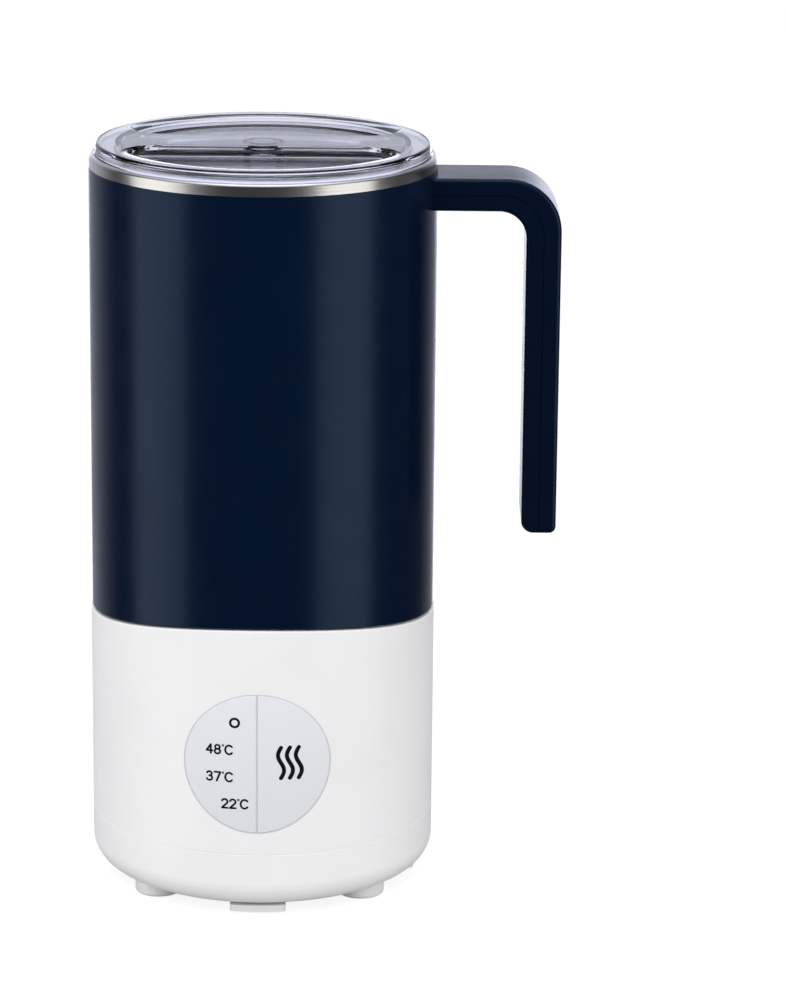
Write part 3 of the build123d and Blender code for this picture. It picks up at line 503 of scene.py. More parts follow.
def coil_spring(name, low, high):
    """Closed round wire wound up from the lowest to the highest point of a box."""
    middle, half = (low + high) / 2, SPRING_WIRE / 2
    coil = (high.x - low.x) / 2 - half
    rise = high.z - low.z - SPRING_WIRE
    work = bmesh.new()
    loops = []
    for step in range(SPRING_STEPS + 1):
        share = step / SPRING_STEPS
        turn = 2 * math.pi * SPRING_TURNS * share
        loop = []
        for side in range(SPRING_SIDES):
            angle = 2 * math.pi * side / SPRING_SIDES
            reach = coil + half * math.cos(angle)
            loop.append(work.verts.new((middle.x + reach * math.cos(turn), middle.y + reach * math.sin(turn),
                                        low.z + half + rise * share + half * math.sin(angle))))
        loops.append(loop)
    close_skin(work, loops)
    return finished_piece(name, work)


# ---- Lid
LID_STEPS = 240
RECESS_ARC_STEPS = 120
CORNER_STEPS = 12
EDGE_STEPS = 30
SEAT_GAP = 0.02 * MM
SLIVER = 0.002 * MM
PLUG_WALL = 1.8 * MM
PLUG_DEPTH = 8.3 * MM
PLUG_REACH = 6.4 * MM
GROOVE_DEPTH = 0.8 * MM
RING_WALL = 1.5 * MM
RING_ROOF = 1.6 * MM
LID_EDGE = 0.9 * MM
LID_FLOOR = 1.8 * MM
RECESS_REACH = 7.9 * MM
BOSS_RADIUS = 6.5 * MM
BOSS_BORE = 4.2 * MM
BOSS_STEPS = 80
CAVITY_STEPS = 8
EDGE_ROUND_STEPS = 8
FOOT_STEPS = 5
CROWN_STEPS = 9
CROWN_LIP = 0.28 * MM
EDGE_CURVE = ((0.0, 0.35), (0.04, 0.2), (0.13, 0.08))
CROWN_CLEAR = 0.004 * MM
CUT_PAST = 0.3 * MM
LIP_FLARE = 0.5 * MM
LIP_CHAMFER = 0.25 * MM
SHARP_ANGLE = 28.0


def lathe(name, profile, steps):
    """Closed round piece turned from a closed profile of (radius, height)."""
    work = bmesh.new()
    loops = []
    for step in range(steps):
        turn = 2 * math.pi * step / steps
        loops.append([work.verts.new((radius * math.cos(turn), radius * math.sin(turn), height))
                      for radius, height in profile])
    close_skin(work, loops, ring=True)
    bmesh.ops.remove_doubles(work, verts=work.verts, dist=1e-7)
    bmesh.ops.dissolve_degenerate(work, edges=work.edges, dist=1e-7)
    return finished_piece(name, work)


def recess_ring(radius, edge, corner, side, height):
    """Corners round one half-moon of the lid at one height."""
    across = math.sqrt((radius - corner) ** 2 - (edge + corner) ** 2)
    turn = math.atan2(-(edge + corner), across)
    flat = [(across * (2 * step / EDGE_STEPS - 1), -edge) for step in range(EDGE_STEPS)]
    for step in range(CORNER_STEPS):
        angle = math.pi / 2 + (turn - math.pi / 2) * step / CORNER_STEPS
        flat.append((across + corner * math.cos(angle), -(edge + corner) + corner * math.sin(angle)))
    for step in range(RECESS_ARC_STEPS):
        angle = turn - (math.pi + 2 * turn) * step / RECESS_ARC_STEPS
        flat.append((radius * math.cos(angle), radius * math.sin(angle)))
    for step in range(CORNER_STEPS):
        angle = -math.pi - turn - (math.pi / 2 - turn) * step / CORNER_STEPS
        flat.append((-across + corner * math.cos(angle), -(edge + corner) + corner * math.sin(angle)))
    return [(x, side * -y, height) for x, y in flat]


def recess_cutter(chosen, lid_radius, top):
    """Both half-moons as closed bodies whose walls carry the foot, the rim and the crown."""
    inner = lid_radius - RECESS_REACH
    floor = top - chosen.recess_depth
    foot, crown, slope = chosen.recess_foot, chosen.crown_width, chosen.crown_slope
    levels = []
    for step in range(FOOT_STEPS + 1):
        angle = math.pi / 2 * step / FOOT_STEPS
        levels.append((foot * (math.sin(angle) - 1), floor + foot * (1 - math.cos(angle))))
    edge_top = top - slope * (crown - CROWN_LIP) ** 2 / (2 * crown)
    levels += [(out * MM, edge_top - below * MM) for out, below in EDGE_CURVE]
    for step in range(CROWN_STEPS + 1):
        out = CROWN_LIP + (crown - CROWN_LIP) * step / CROWN_STEPS
        levels.append((out, top - slope * (crown - out) ** 2 / (2 * crown) + CROWN_CLEAR))
    levels.append((crown + CUT_PAST, top + CUT_PAST))
    work = bmesh.new()
    for side in (-1, 1):
        rings = []
        for out, height in levels:
            share = out * chosen.bar_round / crown if out > 0 else out
            edge, corner = chosen.bar_width / 2 - share, chosen.recess_corner + out
            ring = recess_ring(inner + out, edge, corner, side, height)
            rings.append([work.verts.new(point) for point in ring])
        close_skin(work, rings)
    return finished_piece("recess_cutter", work)


def cut(piece, tool, operation):
    """Cuts or joins a body with a tool, which is then gone."""
    change = piece.modifiers.new("cut", "BOOLEAN")
    change.operation = operation
    change.solver = "EXACT"
    change.object = tool
    bpy.context.view_layer.update()
    shaped = bpy.data.meshes.new_from_object(piece.evaluated_get(bpy.context.evaluated_depsgraph_get()))
    piece.modifiers.clear()
    piece.data = shaped
    bpy.data.objects.remove(tool)


def peg(name, radius, bottom, top):
    """Upright round peg."""
    return lathe(name, [(0.0, top), (radius, top), (radius, bottom), (0.0, bottom)], BOSS_STEPS)


def drop_slivers(piece):
    """Merges corners that the cuts left almost on top of one another."""
    work = bmesh.new()
    work.from_mesh(piece.data)
    bmesh.ops.remove_doubles(work, verts=work.verts, dist=SLIVER)
    bmesh.ops.dissolve_degenerate(work, edges=work.edges, dist=SLIVER)
    work.to_mesh(piece.data)
    work.free()


def bar_cavity(half, radius, bottom, top):
    """The space under the bar, closed by the plug's wall at both ends."""
    work = bmesh.new()
    rings = []
    for height in (bottom, top):
        ring = []
        for side in (1, -1):
            for step in range(CAVITY_STEPS + 1):
                y = side * half * (2 * step / CAVITY_STEPS - 1)
                ring.append(work.verts.new((side * math.sqrt(radius**2 - y**2), y, height)))
        rings.append(ring)
    close_skin(work, rings)
    return finished_piece("bar_cavity", work)


def clear_lid(chosen):
    """The lid: a crowned ring and bar round two half-moon recesses, with its plug and boss below."""
    low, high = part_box("lid_body")
    radius, top = high.x, high.z
    vessel_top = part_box("steel_vessel")[1].z
    rim, bottom = vessel_top + SEAT_GAP, vessel_top - PLUG_DEPTH
    plug = radius - PLUG_REACH
    groove_low, groove_high = (corner.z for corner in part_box("lid_seal"))
    under = top - chosen.recess_depth - LID_FLOOR
    profile = [(0.0, top)]
    for step in range(EDGE_ROUND_STEPS + 1):
        angle = math.pi / 2 * step / EDGE_ROUND_STEPS
        profile.append((radius - LID_EDGE * (1 - math.sin(angle)), top - LID_EDGE * (1 - math.cos(angle))))
    lip = radius + chosen.lip_width
    lip_top = rim + chosen.lip_height
    profile += [(radius, lip_top + LIP_FLARE), (lip - LIP_CHAMFER, lip_top),
                (lip, lip_top - LIP_CHAMFER), (lip, rim), (radius - RING_WALL, rim),
                (radius - RING_WALL, top - RING_ROOF), (plug, top - RING_ROOF), (plug, groove_high),
                (plug - GROOVE_DEPTH, groove_high), (plug - GROOVE_DEPTH, groove_low), (plug, groove_low),
                (plug, bottom), (plug - PLUG_WALL, bottom), (plug - PLUG_WALL, under), (0.0, under)]
    lid = lathe("lid", profile, LID_STEPS)
    cut(lid, recess_cutter(chosen, radius, top), "DIFFERENCE")
    bar_under = top - chosen.bar_wall
    half = chosen.bar_width / 2 - chosen.bar_wall
    cut(lid, bar_cavity(half, plug - PLUG_WALL - SEAT_GAP, under - MM, bar_under), "DIFFERENCE")
    cut(lid, peg("boss", BOSS_RADIUS, low.z, bar_under + SEAT_GAP), "UNION")
    cut(lid, peg("bore", BOSS_BORE, low.z - MM, bar_under), "DIFFERENCE")
    drop_slivers(lid)
    lid.data.shade_smooth()
    lid.data.set_sharp_from_angle(angle=math.radians(SHARP_ANGLE))
    lid.modifiers.new("even_shading", "WEIGHTED_NORMAL").keep_sharp = True
    return lid


# ---- Vessel
VESSEL_WALL = 0.8 * MM
VESSEL_CORNER = 3.2 * MM
VESSEL_RADIUS = 47.0 * MM
RIM_ROUND = 1.2 * MM
ROUND_STEPS = 12


def quarter(middle, radius, start):
    """Points round a quarter of a circle, from this angle in degrees on."""
    points = []
    for step in range(ROUND_STEPS + 1):
        angle = math.radians(start + 90.0 * step / ROUND_STEPS)
        points.append((middle[0] + radius * math.cos(angle), middle[1] + radius * math.sin(angle)))
    return points


def steel_vessel():
    """The deep drawn vessel with its rim turned out and down over the jug's shell."""
    low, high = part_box("steel_vessel")
    jug, top, bottom = high.x, high.z, low.z
    shell_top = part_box("jug_shell")[1].z
    outer, corner = VESSEL_RADIUS + VESSEL_WALL, VESSEL_CORNER + VESSEL_WALL
    floor = bottom + VESSEL_WALL
    profile = [(0.0, bottom)]
    profile += quarter((outer - corner, bottom + corner), corner, -90.0)
    under, inside = top - VESSEL_WALL, jug - VESSEL_WALL
    profile += [(outer, under), (inside, under), (inside, shell_top), (jug, shell_top)]
    profile += quarter((jug - RIM_ROUND, top - RIM_ROUND), RIM_ROUND, 0.0)
    profile += [(VESSEL_RADIUS, top)]
    profile += reversed(quarter((VESSEL_RADIUS - VESSEL_CORNER, floor + VESSEL_CORNER), VESSEL_CORNER, -90.0))
    profile += [(0.0, floor)]
    vessel = lathe("vessel", profile, LID_STEPS)
    vessel.data.shade_smooth()
    vessel.data.set_sharp_from_angle(angle=math.radians(SHARP_ANGLE))
    return vessel


# ---- Settings
COLOUR = {"subtype": "COLOR", "size": 3, "min": 0.0, "max": 1.0}
LENGTH = {"subtype": "DISTANCE", "unit": "LENGTH"}
SHARE = {"subtype": "FACTOR", "min": 0.0, "max": 1.0}
LEVEL = {"subtype": "FACTOR", "min": 0.0, "max": 2.0}
LAMP = {"min": 0.0, "max": 5.0}


class CasingSettings(bpy.types.PropertyGroup):
    """Colours of the base."""
    casing_colour: bpy.props.FloatVectorProperty(
        name="Casing", description="Colour of the white casing", **COLOUR, default=(0.86, 0.862, 0.872))
    # The panel's colour at its top; painted shade darkens it towards the bottom.
    panel_colour: bpy.props.FloatVectorProperty(
        name="Panel", description="Colour of the two pressed halves of the panel", **COLOUR,
        default=(0.775, 0.785, 0.825))
    seal_colour: bpy.props.FloatVectorProperty(
        name="Panel seal", description="Colour of the soft seal round the panel's halves", **COLOUR,
        default=(0.7, 0.7, 0.76))
    feet_colour: bpy.props.FloatVectorProperty(
        name="Feet", description="Colour of the rubber feet", **COLOUR, default=(0.78, 0.775, 0.78))
    casing_roughness: bpy.props.FloatProperty(
        name="Casing roughness", description="How matt the casing is", **SHARE, default=0.42)


class MarkSettings(bpy.types.PropertyGroup):
    """Sizes of the marks printed on the panel."""
    ink_colour: bpy.props.FloatVectorProperty(
        name="Ink", description="Colour of the printed marks", **COLOUR, default=(0.003, 0.004, 0.012))
    figure_height: bpy.props.FloatProperty(
        name="Figure height", description="Height of the temperature figures", **LENGTH, default=3.5 * MM)
    figure_line: bpy.props.FloatProperty(
        name="Figure line", description="Width of the line that the figures are drawn with", **LENGTH,
        default=0.62 * MM)
    ring_radius: bpy.props.FloatProperty(
        name="Ring radius", description="Outer radius of the ring mark", **LENGTH, default=1.75 * MM)
    ring_line: bpy.props.FloatProperty(
        name="Ring line", description="Width of the ring's line", **LENGTH, default=0.75 * MM)
    wave_height: bpy.props.FloatProperty(
        name="Wave height", description="Height of the heat waves", **LENGTH, default=10.1 * MM)
    wave_swing: bpy.props.FloatProperty(
        name="Wave swing", description="How far a heat wave swings to each side", **LENGTH, default=0.95 * MM)
    wave_pitch: bpy.props.FloatProperty(
        name="Wave pitch", description="Distance from one heat wave to the next", **LENGTH, default=2.78 * MM)
    wave_line: bpy.props.FloatProperty(
        name="Wave line", description="Width of a heat wave's line", **LENGTH, default=1.3 * MM)


class JugSettings(bpy.types.PropertyGroup):
    """Colours of the jug and what it holds."""
    shell_colour: bpy.props.FloatVectorProperty(
        name="Shell", description="Colour of the jug's outer shell", **COLOUR,
        default=(0.0003, 0.005, 0.0215))
    handle_colour: bpy.props.FloatVectorProperty(
        name="Handle", description="Colour of the handle", **COLOUR, default=(0.0003, 0.004, 0.0175))
    gloss_colour: bpy.props.FloatVectorProperty(
        name="Gloss tint", description="Tint of what the navy paint mirrors head on", **COLOUR,
        default=(0.45, 0.7, 1.0))
    steel_colour: bpy.props.FloatVectorProperty(
        name="Steel", description="Colour of the steel vessel", **COLOUR, default=(0.87, 0.845, 0.81))
    shell_roughness: bpy.props.FloatProperty(
        name="Shell roughness", description="How matt the shell is", **SHARE, default=0.26)


class LidSettings(bpy.types.PropertyGroup):
    """Sizes of the clear lid."""
    lid_colour: bpy.props.FloatVectorProperty(
        name="Lid", description="Tint of the clear lid", **COLOUR, default=(0.88, 0.885, 0.935))
    recess_depth: bpy.props.FloatProperty(
        name="Recess depth", description="Depth of the two half-moon recesses", **LENGTH, default=3.4 * MM)
    recess_corner: bpy.props.FloatProperty(
        name="Recess corner", description="Corner radius of the recesses", **LENGTH, default=7.0 * MM)
    recess_foot: bpy.props.FloatProperty(
        name="Recess foot", description="Round between the recess's wall and floor", **LENGTH,
        default=1.2 * MM)
    lip_width: bpy.props.FloatProperty(
        name="Lip width", description="How far the lid's foot stands out on the rim", **LENGTH,
        default=0.5 * MM)
    lip_height: bpy.props.FloatProperty(
        name="Lip height", description="Height of the lid's foot on the rim", **LENGTH, default=0.3 * MM)
    crown_width: bpy.props.FloatProperty(
        name="Crown width", description="How far the ring slopes down towards the recesses", **LENGTH,
        default=6.2 * MM)
    crown_slope: bpy.props.FloatProperty(
        name="Crown slope", description="Steepest slope of the ring, at the recesses", **SHARE, default=0.26)
    bar_width: bpy.props.FloatProperty(
        name="Bar width", description="Width of the bar across the lid", **LENGTH, default=20.0 * MM)
    bar_wall: bpy.props.FloatProperty(
        name="Bar wall", description="Thickness of the bar's walls", **LENGTH, default=2.0 * MM)
    bar_round: bpy.props.FloatProperty(
        name="Bar round", description="Width of the bar's rounded edges", **LENGTH, default=0.6 * MM)


class StageSettings(bpy.types.PropertyGroup):
    """Camera and light."""
    lens: bpy.props.FloatProperty(
        name="Lens", description="Focal length of the camera", subtype="DISTANCE_CAMERA",
        unit="CAMERA", default=143.58)
    level: bpy.props.FloatProperty(
        name="Ambient level", description="Plain light from the room in front", **LEVEL, default=0.93)
    rear_level: bpy.props.FloatProperty(
        name="Rear level", description="Plain light from the room behind", **LEVEL, default=0.55)
    dark_level: bpy.props.FloatProperty(
        name="Dark level", description="What glossy pieces mirror between the lamps", **LEVEL, default=0.045)
    wall_level: bpy.props.FloatProperty(
        name="Wall level", description="What glossy pieces mirror beside the white card behind", **LEVEL,
        default=0.6)
    ceiling_level: bpy.props.FloatProperty(
        name="Ceiling level", description="What glossy pieces mirror of the ceiling", **LEVEL, default=0.75)
    card_level: bpy.props.FloatProperty(
        name="Card level", description="Brightness of the white card behind, as glossy pieces mirror it",
        **LAMP, default=2.8)
    mirror_colour: bpy.props.FloatVectorProperty(
        name="Mirrored room", description="Tint of the room where glossy pieces mirror it", **COLOUR,
        default=(0.84, 0.865, 1.0))
    through_level: bpy.props.FloatProperty(
        name="Through level", description="What the clear lid shows of the room overhead", **LEVEL,
        default=1.4)
    top_lamp: bpy.props.FloatProperty(
        name="Top lamp", description="Brightness of the overhead lamp's face", **LAMP, default=0.9)
    left_lamp: bpy.props.FloatProperty(
        name="Left lamp", description="Brightness of the left lamp's face", **LAMP, default=1.1)
    right_lamp: bpy.props.FloatProperty(
        name="Right lamp", description="Brightness of the right lamp's face", **LAMP, default=1.12)
    front_lamp: bpy.props.FloatProperty(
        name="Front lamp", description="Brightness of the high front lamp's face", **LAMP, default=1.25)


class FormulaMakerSettings(bpy.types.PropertyGroup):
    """All settings of the formula maker."""
    casing: bpy.props.PointerProperty(type=CasingSettings, name="Casing")
    marks: bpy.props.PointerProperty(type=MarkSettings, name="Marks")
    jug: bpy.props.PointerProperty(type=JugSettings, name="Jug")
    lid: bpy.props.PointerProperty(type=LidSettings, name="Lid")
    stage: bpy.props.PointerProperty(type=StageSettings, name="Stage")


def settings():
    """The scene's formula maker settings."""
    return bpy.context.scene.formula_maker


# ---- Operators
class FORMULA_OT_casing(bpy.types.Operator):
    """Finish the base's white casing"""
    bl_idname = "formula.casing"
    bl_label = "Casing"

    def execute(self, context):
        chosen = settings().casing
        casing = moulded_plastic("white_casing", chosen.casing_colour, chosen.casing_roughness)
        dress(casing, "base_housing", "bottom_cover", "button_frame")
        return {"FINISHED"}


class FORMULA_OT_underside(bpy.types.Operator):
    """Finish the feet, the cord keeper and the screws under the base"""
    bl_idname = "formula.underside"
    bl_label = "Underside"

    def execute(self, context):
        chosen = settings().casing
        dress(soft_rubber("pale_rubber", chosen.feet_colour), "rubber_feet", "cord_gland")
        keeper = moulded_plastic("keeper_plastic", darker(chosen.casing_colour, 0.04), 0.5, grain=0.0009,
                                 depth=0.00002)
        dress(keeper, "cord_winder")
        screws = plated_metal("zinc_screws", (0.58, 0.58, 0.6), 0.32)
        dress(screws, "cover_screws", "winder_screws", "motor_screws", "bracket_screws", "board_screws",
              "control_screws", "handle_screws")
        return {"FINISHED"}


class FORMULA_OT_seat(bpy.types.Operator):
    """Finish the jug's seat: ceramic plate, seal and temperature probe"""
    bl_idname = "formula.seat"
    bl_label = "Seat"

    def execute(self, context):
        dress(speckled("dark_ceramic", (0.012, 0.012, 0.014), (0.035, 0.035, 0.04), 0.12, 0.0009, 0.000004),
              "jug_seat_plate")
        dress(soft_rubber("grey_silicone", (0.36, 0.37, 0.39)), "seat_seal", "rim_gasket", "lid_seal")
        dress(brushed_steel("turned_aluminium", (0.78, 0.78, 0.8), 0.3, (2600.0, 2600.0, 60.0)),
              "temperature_sensor")
        return {"FINISHED"}


class FORMULA_OT_works(bpy.types.Operator):
    """Finish the heater, motor, fan and electronics inside the base"""
    bl_idname = "formula.works"
    bl_label = "Works"

    def execute(self, context):
        black = moulded_plastic("black_nylon", (0.022, 0.022, 0.025), 0.5, grain=0.0008, depth=0.00002)
        dress(black, "coil_carrier", "sensor_holder", "fan_frame", "fan_rotor", "jug_base_ring",
              "power_transistor", "tact_switches")
        dress(wound_copper("wound_copper", (0.62, 0.28, 0.13)), "induction_coil", "choke_coil")
        dress(speckled("ferrite", (0.03, 0.03, 0.032), (0.07, 0.07, 0.075), 0.55, 0.0006), "ferrite_bars")
        dress(speckled("mica", (0.5, 0.44, 0.31), (0.64, 0.59, 0.45), 0.4, 0.003, 0.00002), "mica_disc")
        dress(plated_metal("zinc_plate", (0.55, 0.56, 0.6), 0.28), "motor_can", "motor_bracket")
        dress(brushed_steel("ground_steel", (0.7, 0.7, 0.72), 0.22, (30.0, 30.0, 3000.0)), "motor_shaft")
        spring_wire = plated_metal("spring_wire", (0.6, 0.6, 0.62), 0.25)
        dress(spring_wire, "sensor_spring", "stem_clip")
        low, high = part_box("sensor_spring")
        spring = coil_spring("probe_spring", low, high)
        spring.data.materials.append(spring_wire)
        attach(spring, "base")
        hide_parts("sensor_spring")
        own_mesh(spring)
        dress(plated_metal("nickel_plate", (0.66, 0.65, 0.62), 0.15), "drive_magnets", "whisk_magnets")
        dress(moulded_plastic("holder_nylon", (0.74, 0.74, 0.7), 0.42), "magnet_holder")
        dress(circuit_board("board_green", (0.012, 0.085, 0.035)), "power_board", "control_board")
        dress(moulded_plastic("capacitor_sleeve", (0.01, 0.013, 0.022), 0.2), "bulk_capacitors")
        dress(moulded_plastic("film_case", (0.42, 0.05, 0.02), 0.3), "resonant_capacitor")
        fins = brushed_steel("drawn_aluminium", (0.76, 0.77, 0.79), 0.35, (1800.0, 40.0, 1800.0),
                             turned=False)
        dress(fins, "heatsink")
        dress(clear_plastic("lens_plastic", (0.9, 0.9, 0.88), 0.1), "indicator_leds")
        return {"FINISHED"}


class FORMULA_OT_panel(bpy.types.Operator):
    """Finish the two halves of the round panel, with painted shade darkening them towards the bottom"""
    bl_idname = "formula.panel"
    bl_label = "Panel"

    def execute(self, context):
        chosen = settings().casing
        low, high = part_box("button_left")
        # The bottom colour is a tenth darker than the panel's own colour: painted shade.
        panel = panel_with_painted_shade("panel_satin", chosen.panel_colour, darker(chosen.panel_colour, 0.1),
                             low.z, high.z)
        dress(panel, "button_left", "button_right")
        return {"FINISHED"}


class FORMULA_OT_panel_seal(bpy.types.Operator):
    """Lay the soft seal in the gap round and between the panel's two halves"""
    bl_idname = "formula.panel_seal"
    bl_label = "Panel seal"

    def execute(self, context):
        chosen = settings().casing
        seal = panel_seal()
        seal.data.materials.append(soft_rubber("seal_silicone", chosen.seal_colour, 0.5))
        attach(seal, "base")
        return {"FINISHED"}


class FORMULA_OT_marks(bpy.types.Operator):
    """Print the temperatures, the ring and the heat waves on the panel"""
    bl_idname = "formula.marks"
    bl_label = "Marks"

    def execute(self, context):
        chosen = settings().marks
        ink = moulded_plastic("panel_ink", chosen.ink_colour, 0.5, grain=0.0003, depth=0.000002,
                              cloud=0.2, level=0.2)
        middle = middle_of("button_left").z
        for words, (x, z) in MARK_PLACES.items():
            centre = (x * MM, middle + z * MM)
            strokes = temperature_outlines(words, chosen.figure_height, chosen.figure_line)
            mark_piece(f"mark_{words}_degrees", strokes, centre, ink, "left_button")
        ring = ring_outline(chosen.ring_radius, chosen.ring_radius - chosen.ring_line)
        mark_piece("mark_ring", [ring], (RING_PLACE[0] * MM, middle + RING_PLACE[1] * MM), ink, "left_button")
        wave = stroke_outline(wave_path(chosen.wave_swing, chosen.wave_height), chosen.wave_line)
        for count in range(WAVE_COUNT):
            across = WAVES_PLACE[0] * MM + (count - 1) * chosen.wave_pitch
            mark_piece(f"mark_heat_wave_{count}", [wave], (across, middle + WAVES_PLACE[1] * MM), ink,
                       "right_button")
        return {"FINISHED"}


class FORMULA_OT_jug(bpy.types.Operator):
    """Finish the jug's shell and its steel vessel"""
    bl_idname = "formula.jug"
    bl_label = "Jug"

    def execute(self, context):
        chosen = settings().jug
        shell = moulded_plastic("navy_shell", chosen.shell_colour, chosen.shell_roughness,
                                grain=0.0007, depth=0.000006, cloud=0.1, level=0.42,
                                gloss=chosen.gloss_colour)
        dress(shell, "jug_shell")
        stainless = brushed_steel("brushed_stainless", chosen.steel_colour, 0.22)
        dress(stainless, "steel_vessel")
        vessel = steel_vessel()
        vessel.data.materials.append(stainless)
        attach(vessel, "jug")
        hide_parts("steel_vessel")
        faced = brushed_steel("faced_steel", (0.62, 0.62, 0.64), 0.3, (900.0, 900.0, 900.0))
        dress(faced, "vessel_base_disc")
        return {"FINISHED"}


class FORMULA_OT_handle(bpy.types.Operator):
    """Finish the handle and the bracket inside it"""
    bl_idname = "formula.handle"
    bl_label = "Handle"

    def execute(self, context):
        chosen = settings().jug
        handle = moulded_plastic("navy_handle", chosen.handle_colour, chosen.shell_roughness + 0.04,
                                 grain=0.0007, depth=0.000008, cloud=0.1, level=0.4,
                                 gloss=chosen.gloss_colour)
        dress(handle, "handle_outer_shell", "handle_inner_shell")
        bracket = brushed_steel("bracket_steel", (0.66, 0.66, 0.68), 0.3, (60.0, 60.0, 2600.0))
        dress(bracket, "handle_bracket")
        return {"FINISHED"}


class FORMULA_OT_lid(bpy.types.Operator):
    """Finish the clear lid and the bush that holds the whisk"""
    bl_idname = "formula.lid"
    bl_label = "Lid"

    def execute(self, context):
        chosen = settings().lid
        clear = clear_plastic("clear_lid", chosen.lid_colour)
        dress(clear, "lid_body")
        lid = clear_lid(chosen)
        lid.data.materials.clear()
        lid.data.materials.append(clear)
        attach(lid, "lid")
        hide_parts("lid_body")
        dress(moulded_plastic("bush_nylon", (0.7, 0.7, 0.68), 0.4), "stem_bush")
        return {"FINISHED"}


class FORMULA_OT_whisk(bpy.types.Operator):
    """Finish the whisk and its stem"""
    bl_idname = "formula.whisk"
    bl_label = "Whisk"

    def execute(self, context):
        dress(moulded_plastic("whisk_nylon", (0.76, 0.76, 0.73), 0.38), "whisk_paddle", "magnet_cover")
        dress(brushed_steel("stem_steel", (0.72, 0.72, 0.73), 0.2, (30.0, 30.0, 3000.0)), "whisk_stem")
        return {"FINISHED"}


class FORMULA_OT_stage(bpy.types.Operator):
    """Set up the floor, the room, the lamps and the camera"""
    bl_idname = "formula.stage"
    bl_label = "Stage"

    def execute(self, context):
        chosen = settings().stage
        make_floor()
        make_room(chosen)
        make_lamp("left_softbox", chosen.left_lamp, turn=-70.0, rise=2.0, size=(0.82, 1.25))
        make_lamp("right_softbox", chosen.right_lamp, turn=57.0, rise=2.0, size=(0.78, 1.25))
        make_lamp("front_softbox", chosen.front_lamp, turn=-12.0, rise=52.0, size=(1.3, 0.8),
                  mirrored=False)
        make_lamp("top_softbox", chosen.top_lamp, turn=0.0, rise=89.0, size=(0.8, 0.8))
        make_camera(chosen)
        return {"FINISHED"}


# ---- Stage
CAMERA_PLACE = (0.04184, -1.2356, 0.46405)
CAMERA_PITCH = 15.41
CAMERA_ROLL = 0.571
FLOOR_HALF = 4.0
FLOOR_GLOW = 0.87
PAPER_LIT = (0.52, 0.52, 0.52)
PAPER_SEEN = (0.2, 0.2, 0.2)
LAMP_DISTANCE = 1.1
AIM_HEIGHT = 0.15
WALL_TURN = 10.0


def make_floor():
    """Pale floor that keeps the object's shadow."""
    mesh = bpy.data.meshes.new("floor")
    corners = [(x * FLOOR_HALF, y * FLOOR_HALF, 0) for x, y in ((-1, -1), (1, -1), (1, 1), (-1, 1))]
    mesh.from_pydata(corners, [], [(0, 1, 2, 3)])
    material = bpy.data.materials.new("floor_paper")
    tree = emptied(material)
    path = add_node(tree, "ShaderNodeLightPath")
    seen = add_node(tree, "ShaderNodeMath", {0: path.outputs["Is Camera Ray"],
                                             1: path.outputs["Is Transmission Ray"]}, operation="MAXIMUM")
    paper = add_node(tree, "ShaderNodeBsdfDiffuse", {
        "Color": tint(tree, seen.outputs[0], PAPER_LIT, PAPER_SEEN)})
    strength = add_node(tree, "ShaderNodeMath", {0: seen.outputs[0], 1: FLOOR_GLOW}, operation="MULTIPLY")
    glow = add_node(tree, "ShaderNodeEmission", {"Strength": strength.outputs[0]})
    both = add_node(tree, "ShaderNodeAddShader", {0: paper.outputs[0], 1: glow.outputs[0]})
    add_node(tree, "ShaderNodeOutputMaterial", {"Surface": both.outputs[0]})
    mesh.materials.append(material)
    floor = bpy.data.objects.new("floor", mesh)
    floor.visible_glossy = False
    floor.visible_shadow = False
    bpy.context.scene.collection.objects.link(floor)


def make_room(chosen):
    """White room for the eye, soft light for the pieces, and dark between the lamps for their gloss."""
    world = bpy.data.worlds.new("studio_room")
    bpy.context.scene.world = world
    tree = emptied(world)
    where = add_node(tree, "ShaderNodeTexCoord").outputs["Generated"]
    parts = add_node(tree, "ShaderNodeSeparateXYZ", {0: where})
    depth, rise = parts.outputs["Y"], parts.outputs["Z"]
    turn = math.radians(WALL_TURN)
    facing = add_node(tree, "ShaderNodeVectorMath", {0: where, 1: (-math.sin(turn), math.cos(turn), 0.0)},
                      operation="DOT_PRODUCT").outputs["Value"]
    path = add_node(tree, "ShaderNodeLightPath")
    light = between(tree, depth, chosen.level, chosen.rear_level, start=-0.8, end=0.8)
    behind = between(tree, facing, 0.0, 1.0, start=0.55, end=0.95)
    mirrored = blend(tree, behind, chosen.dark_level, chosen.wall_level)
    card = between(tree, depth, 0.0, 1.0, start=0.93, end=0.965)
    low_card = between(tree, rise, chosen.card_level, chosen.wall_level, start=0.04, end=0.2)
    mirrored = blend(tree, card, mirrored, low_card)
    overhead = between(tree, rise, 0.0, 1.0, start=0.55, end=0.8)
    mirrored = blend(tree, overhead, mirrored, chosen.ceiling_level)
    through = between(tree, rise, 1.0, chosen.through_level, start=0.5, end=0.62)
    strength = blend(tree, path.outputs["Is Glossy Ray"], light, mirrored)
    strength = blend(tree, path.outputs["Is Transmission Ray"], strength, through)
    strength = blend(tree, path.outputs["Is Camera Ray"], strength, 1.0)
    cool = tint(tree, path.outputs["Is Glossy Ray"], (1.0, 1.0, 1.0), chosen.mirror_colour)
    back = add_node(tree, "ShaderNodeBackground", {"Color": cool, "Strength": strength})
    add_node(tree, "ShaderNodeOutputWorld", {"Surface": back.outputs[0]})
    world.cycles.sampling_method = "NONE"


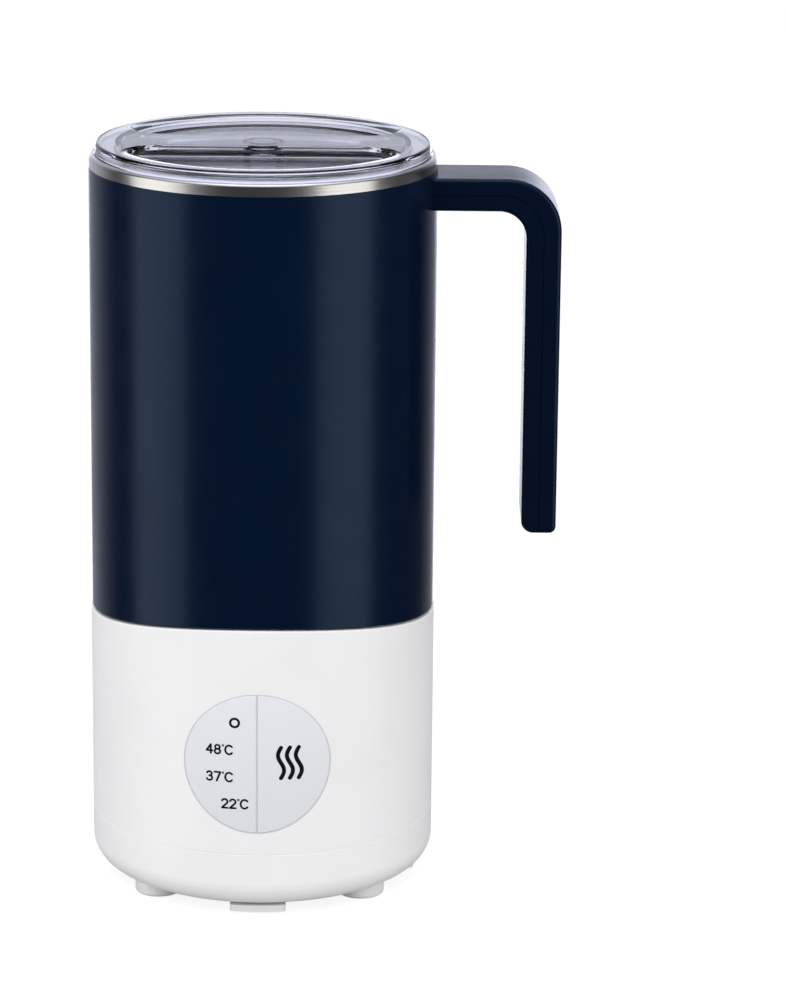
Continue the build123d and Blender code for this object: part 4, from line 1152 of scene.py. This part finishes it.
def make_lamp(name, brightness, turn, rise, size, mirrored=True):
    """Softbox whose face has this brightness, turned round the object from the front, in degrees."""
    lamp = bpy.data.lights.new(name, "AREA")
    lamp.shape = "RECTANGLE"
    lamp.size = size[0]
    lamp.size_y = size[1]
    lamp.energy = brightness * math.pi * size[0] * size[1]
    piece = bpy.data.objects.new(name, lamp)
    across, up = math.radians(turn), math.radians(rise)
    away = Vector((math.sin(across) * math.cos(up), -math.cos(across) * math.cos(up), math.sin(up)))
    piece.location = Vector((0.0, 0.0, AIM_HEIGHT)) + away * LAMP_DISTANCE
    piece.rotation_mode = "QUATERNION"
    piece.rotation_quaternion = (-away).to_track_quat("-Z", "Y")
    piece.visible_camera = False
    piece.visible_transmission = False
    piece.visible_glossy = mirrored
    bpy.context.scene.collection.objects.link(piece)


def make_camera(chosen):
    """Camera a little above the jug, in front and to the right."""
    data = bpy.data.cameras.new("camera")
    data.lens = chosen.lens
    camera = bpy.data.objects.new("camera", data)
    pitch, roll = math.radians(CAMERA_PITCH), math.radians(CAMERA_ROLL)
    ahead = Vector((0.0, math.cos(pitch), -math.sin(pitch)))
    right = Vector((1.0, 0.0, 0.0))
    above = right.cross(ahead)
    side = math.cos(roll) * right + math.sin(roll) * above
    top = math.cos(roll) * above - math.sin(roll) * right
    facing = Matrix((side, top, -ahead)).transposed()
    camera.matrix_world = Matrix.Translation(CAMERA_PLACE) @ facing.to_4x4()
    bpy.context.scene.collection.objects.link(camera)
    bpy.context.scene.camera = camera
    bpy.context.scene.view_settings.view_transform = "Standard"


# ---- Panel and registration
OPERATORS = (
    FORMULA_OT_casing, FORMULA_OT_underside, FORMULA_OT_seat, FORMULA_OT_works, FORMULA_OT_panel,
    FORMULA_OT_panel_seal, FORMULA_OT_marks, FORMULA_OT_jug, FORMULA_OT_handle, FORMULA_OT_lid,
    FORMULA_OT_whisk, FORMULA_OT_stage,
)


class FORMULA_PT_pieces(bpy.types.Panel):
    """The formula maker's pieces"""
    bl_label = "Formula maker"
    bl_space_type = "VIEW_3D"
    bl_region_type = "UI"
    bl_category = "Formula maker"

    def draw(self, context):
        for operator in OPERATORS:
            self.layout.operator(operator.bl_idname)


CLASSES = (CasingSettings, MarkSettings, JugSettings, LidSettings, StageSettings, FormulaMakerSettings,
           *OPERATORS, FORMULA_PT_pieces)


def register():
    """Adds the classes and the scene's settings."""
    for each in CLASSES:
        bpy.utils.register_class(each)
    bpy.types.Scene.formula_maker = bpy.props.PointerProperty(type=FormulaMakerSettings)


def unregister():
    """Takes the settings and the classes away again."""
    del bpy.types.Scene.formula_maker
    for each in reversed(CLASSES):
        bpy.utils.unregister_class(each)


def main():
    """Registers the add-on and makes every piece."""
    register()
    for each in OPERATORS:
        group, name = each.bl_idname.split(".")
        getattr(getattr(bpy.ops, group), name)()


if __name__ == "__main__":
    main()
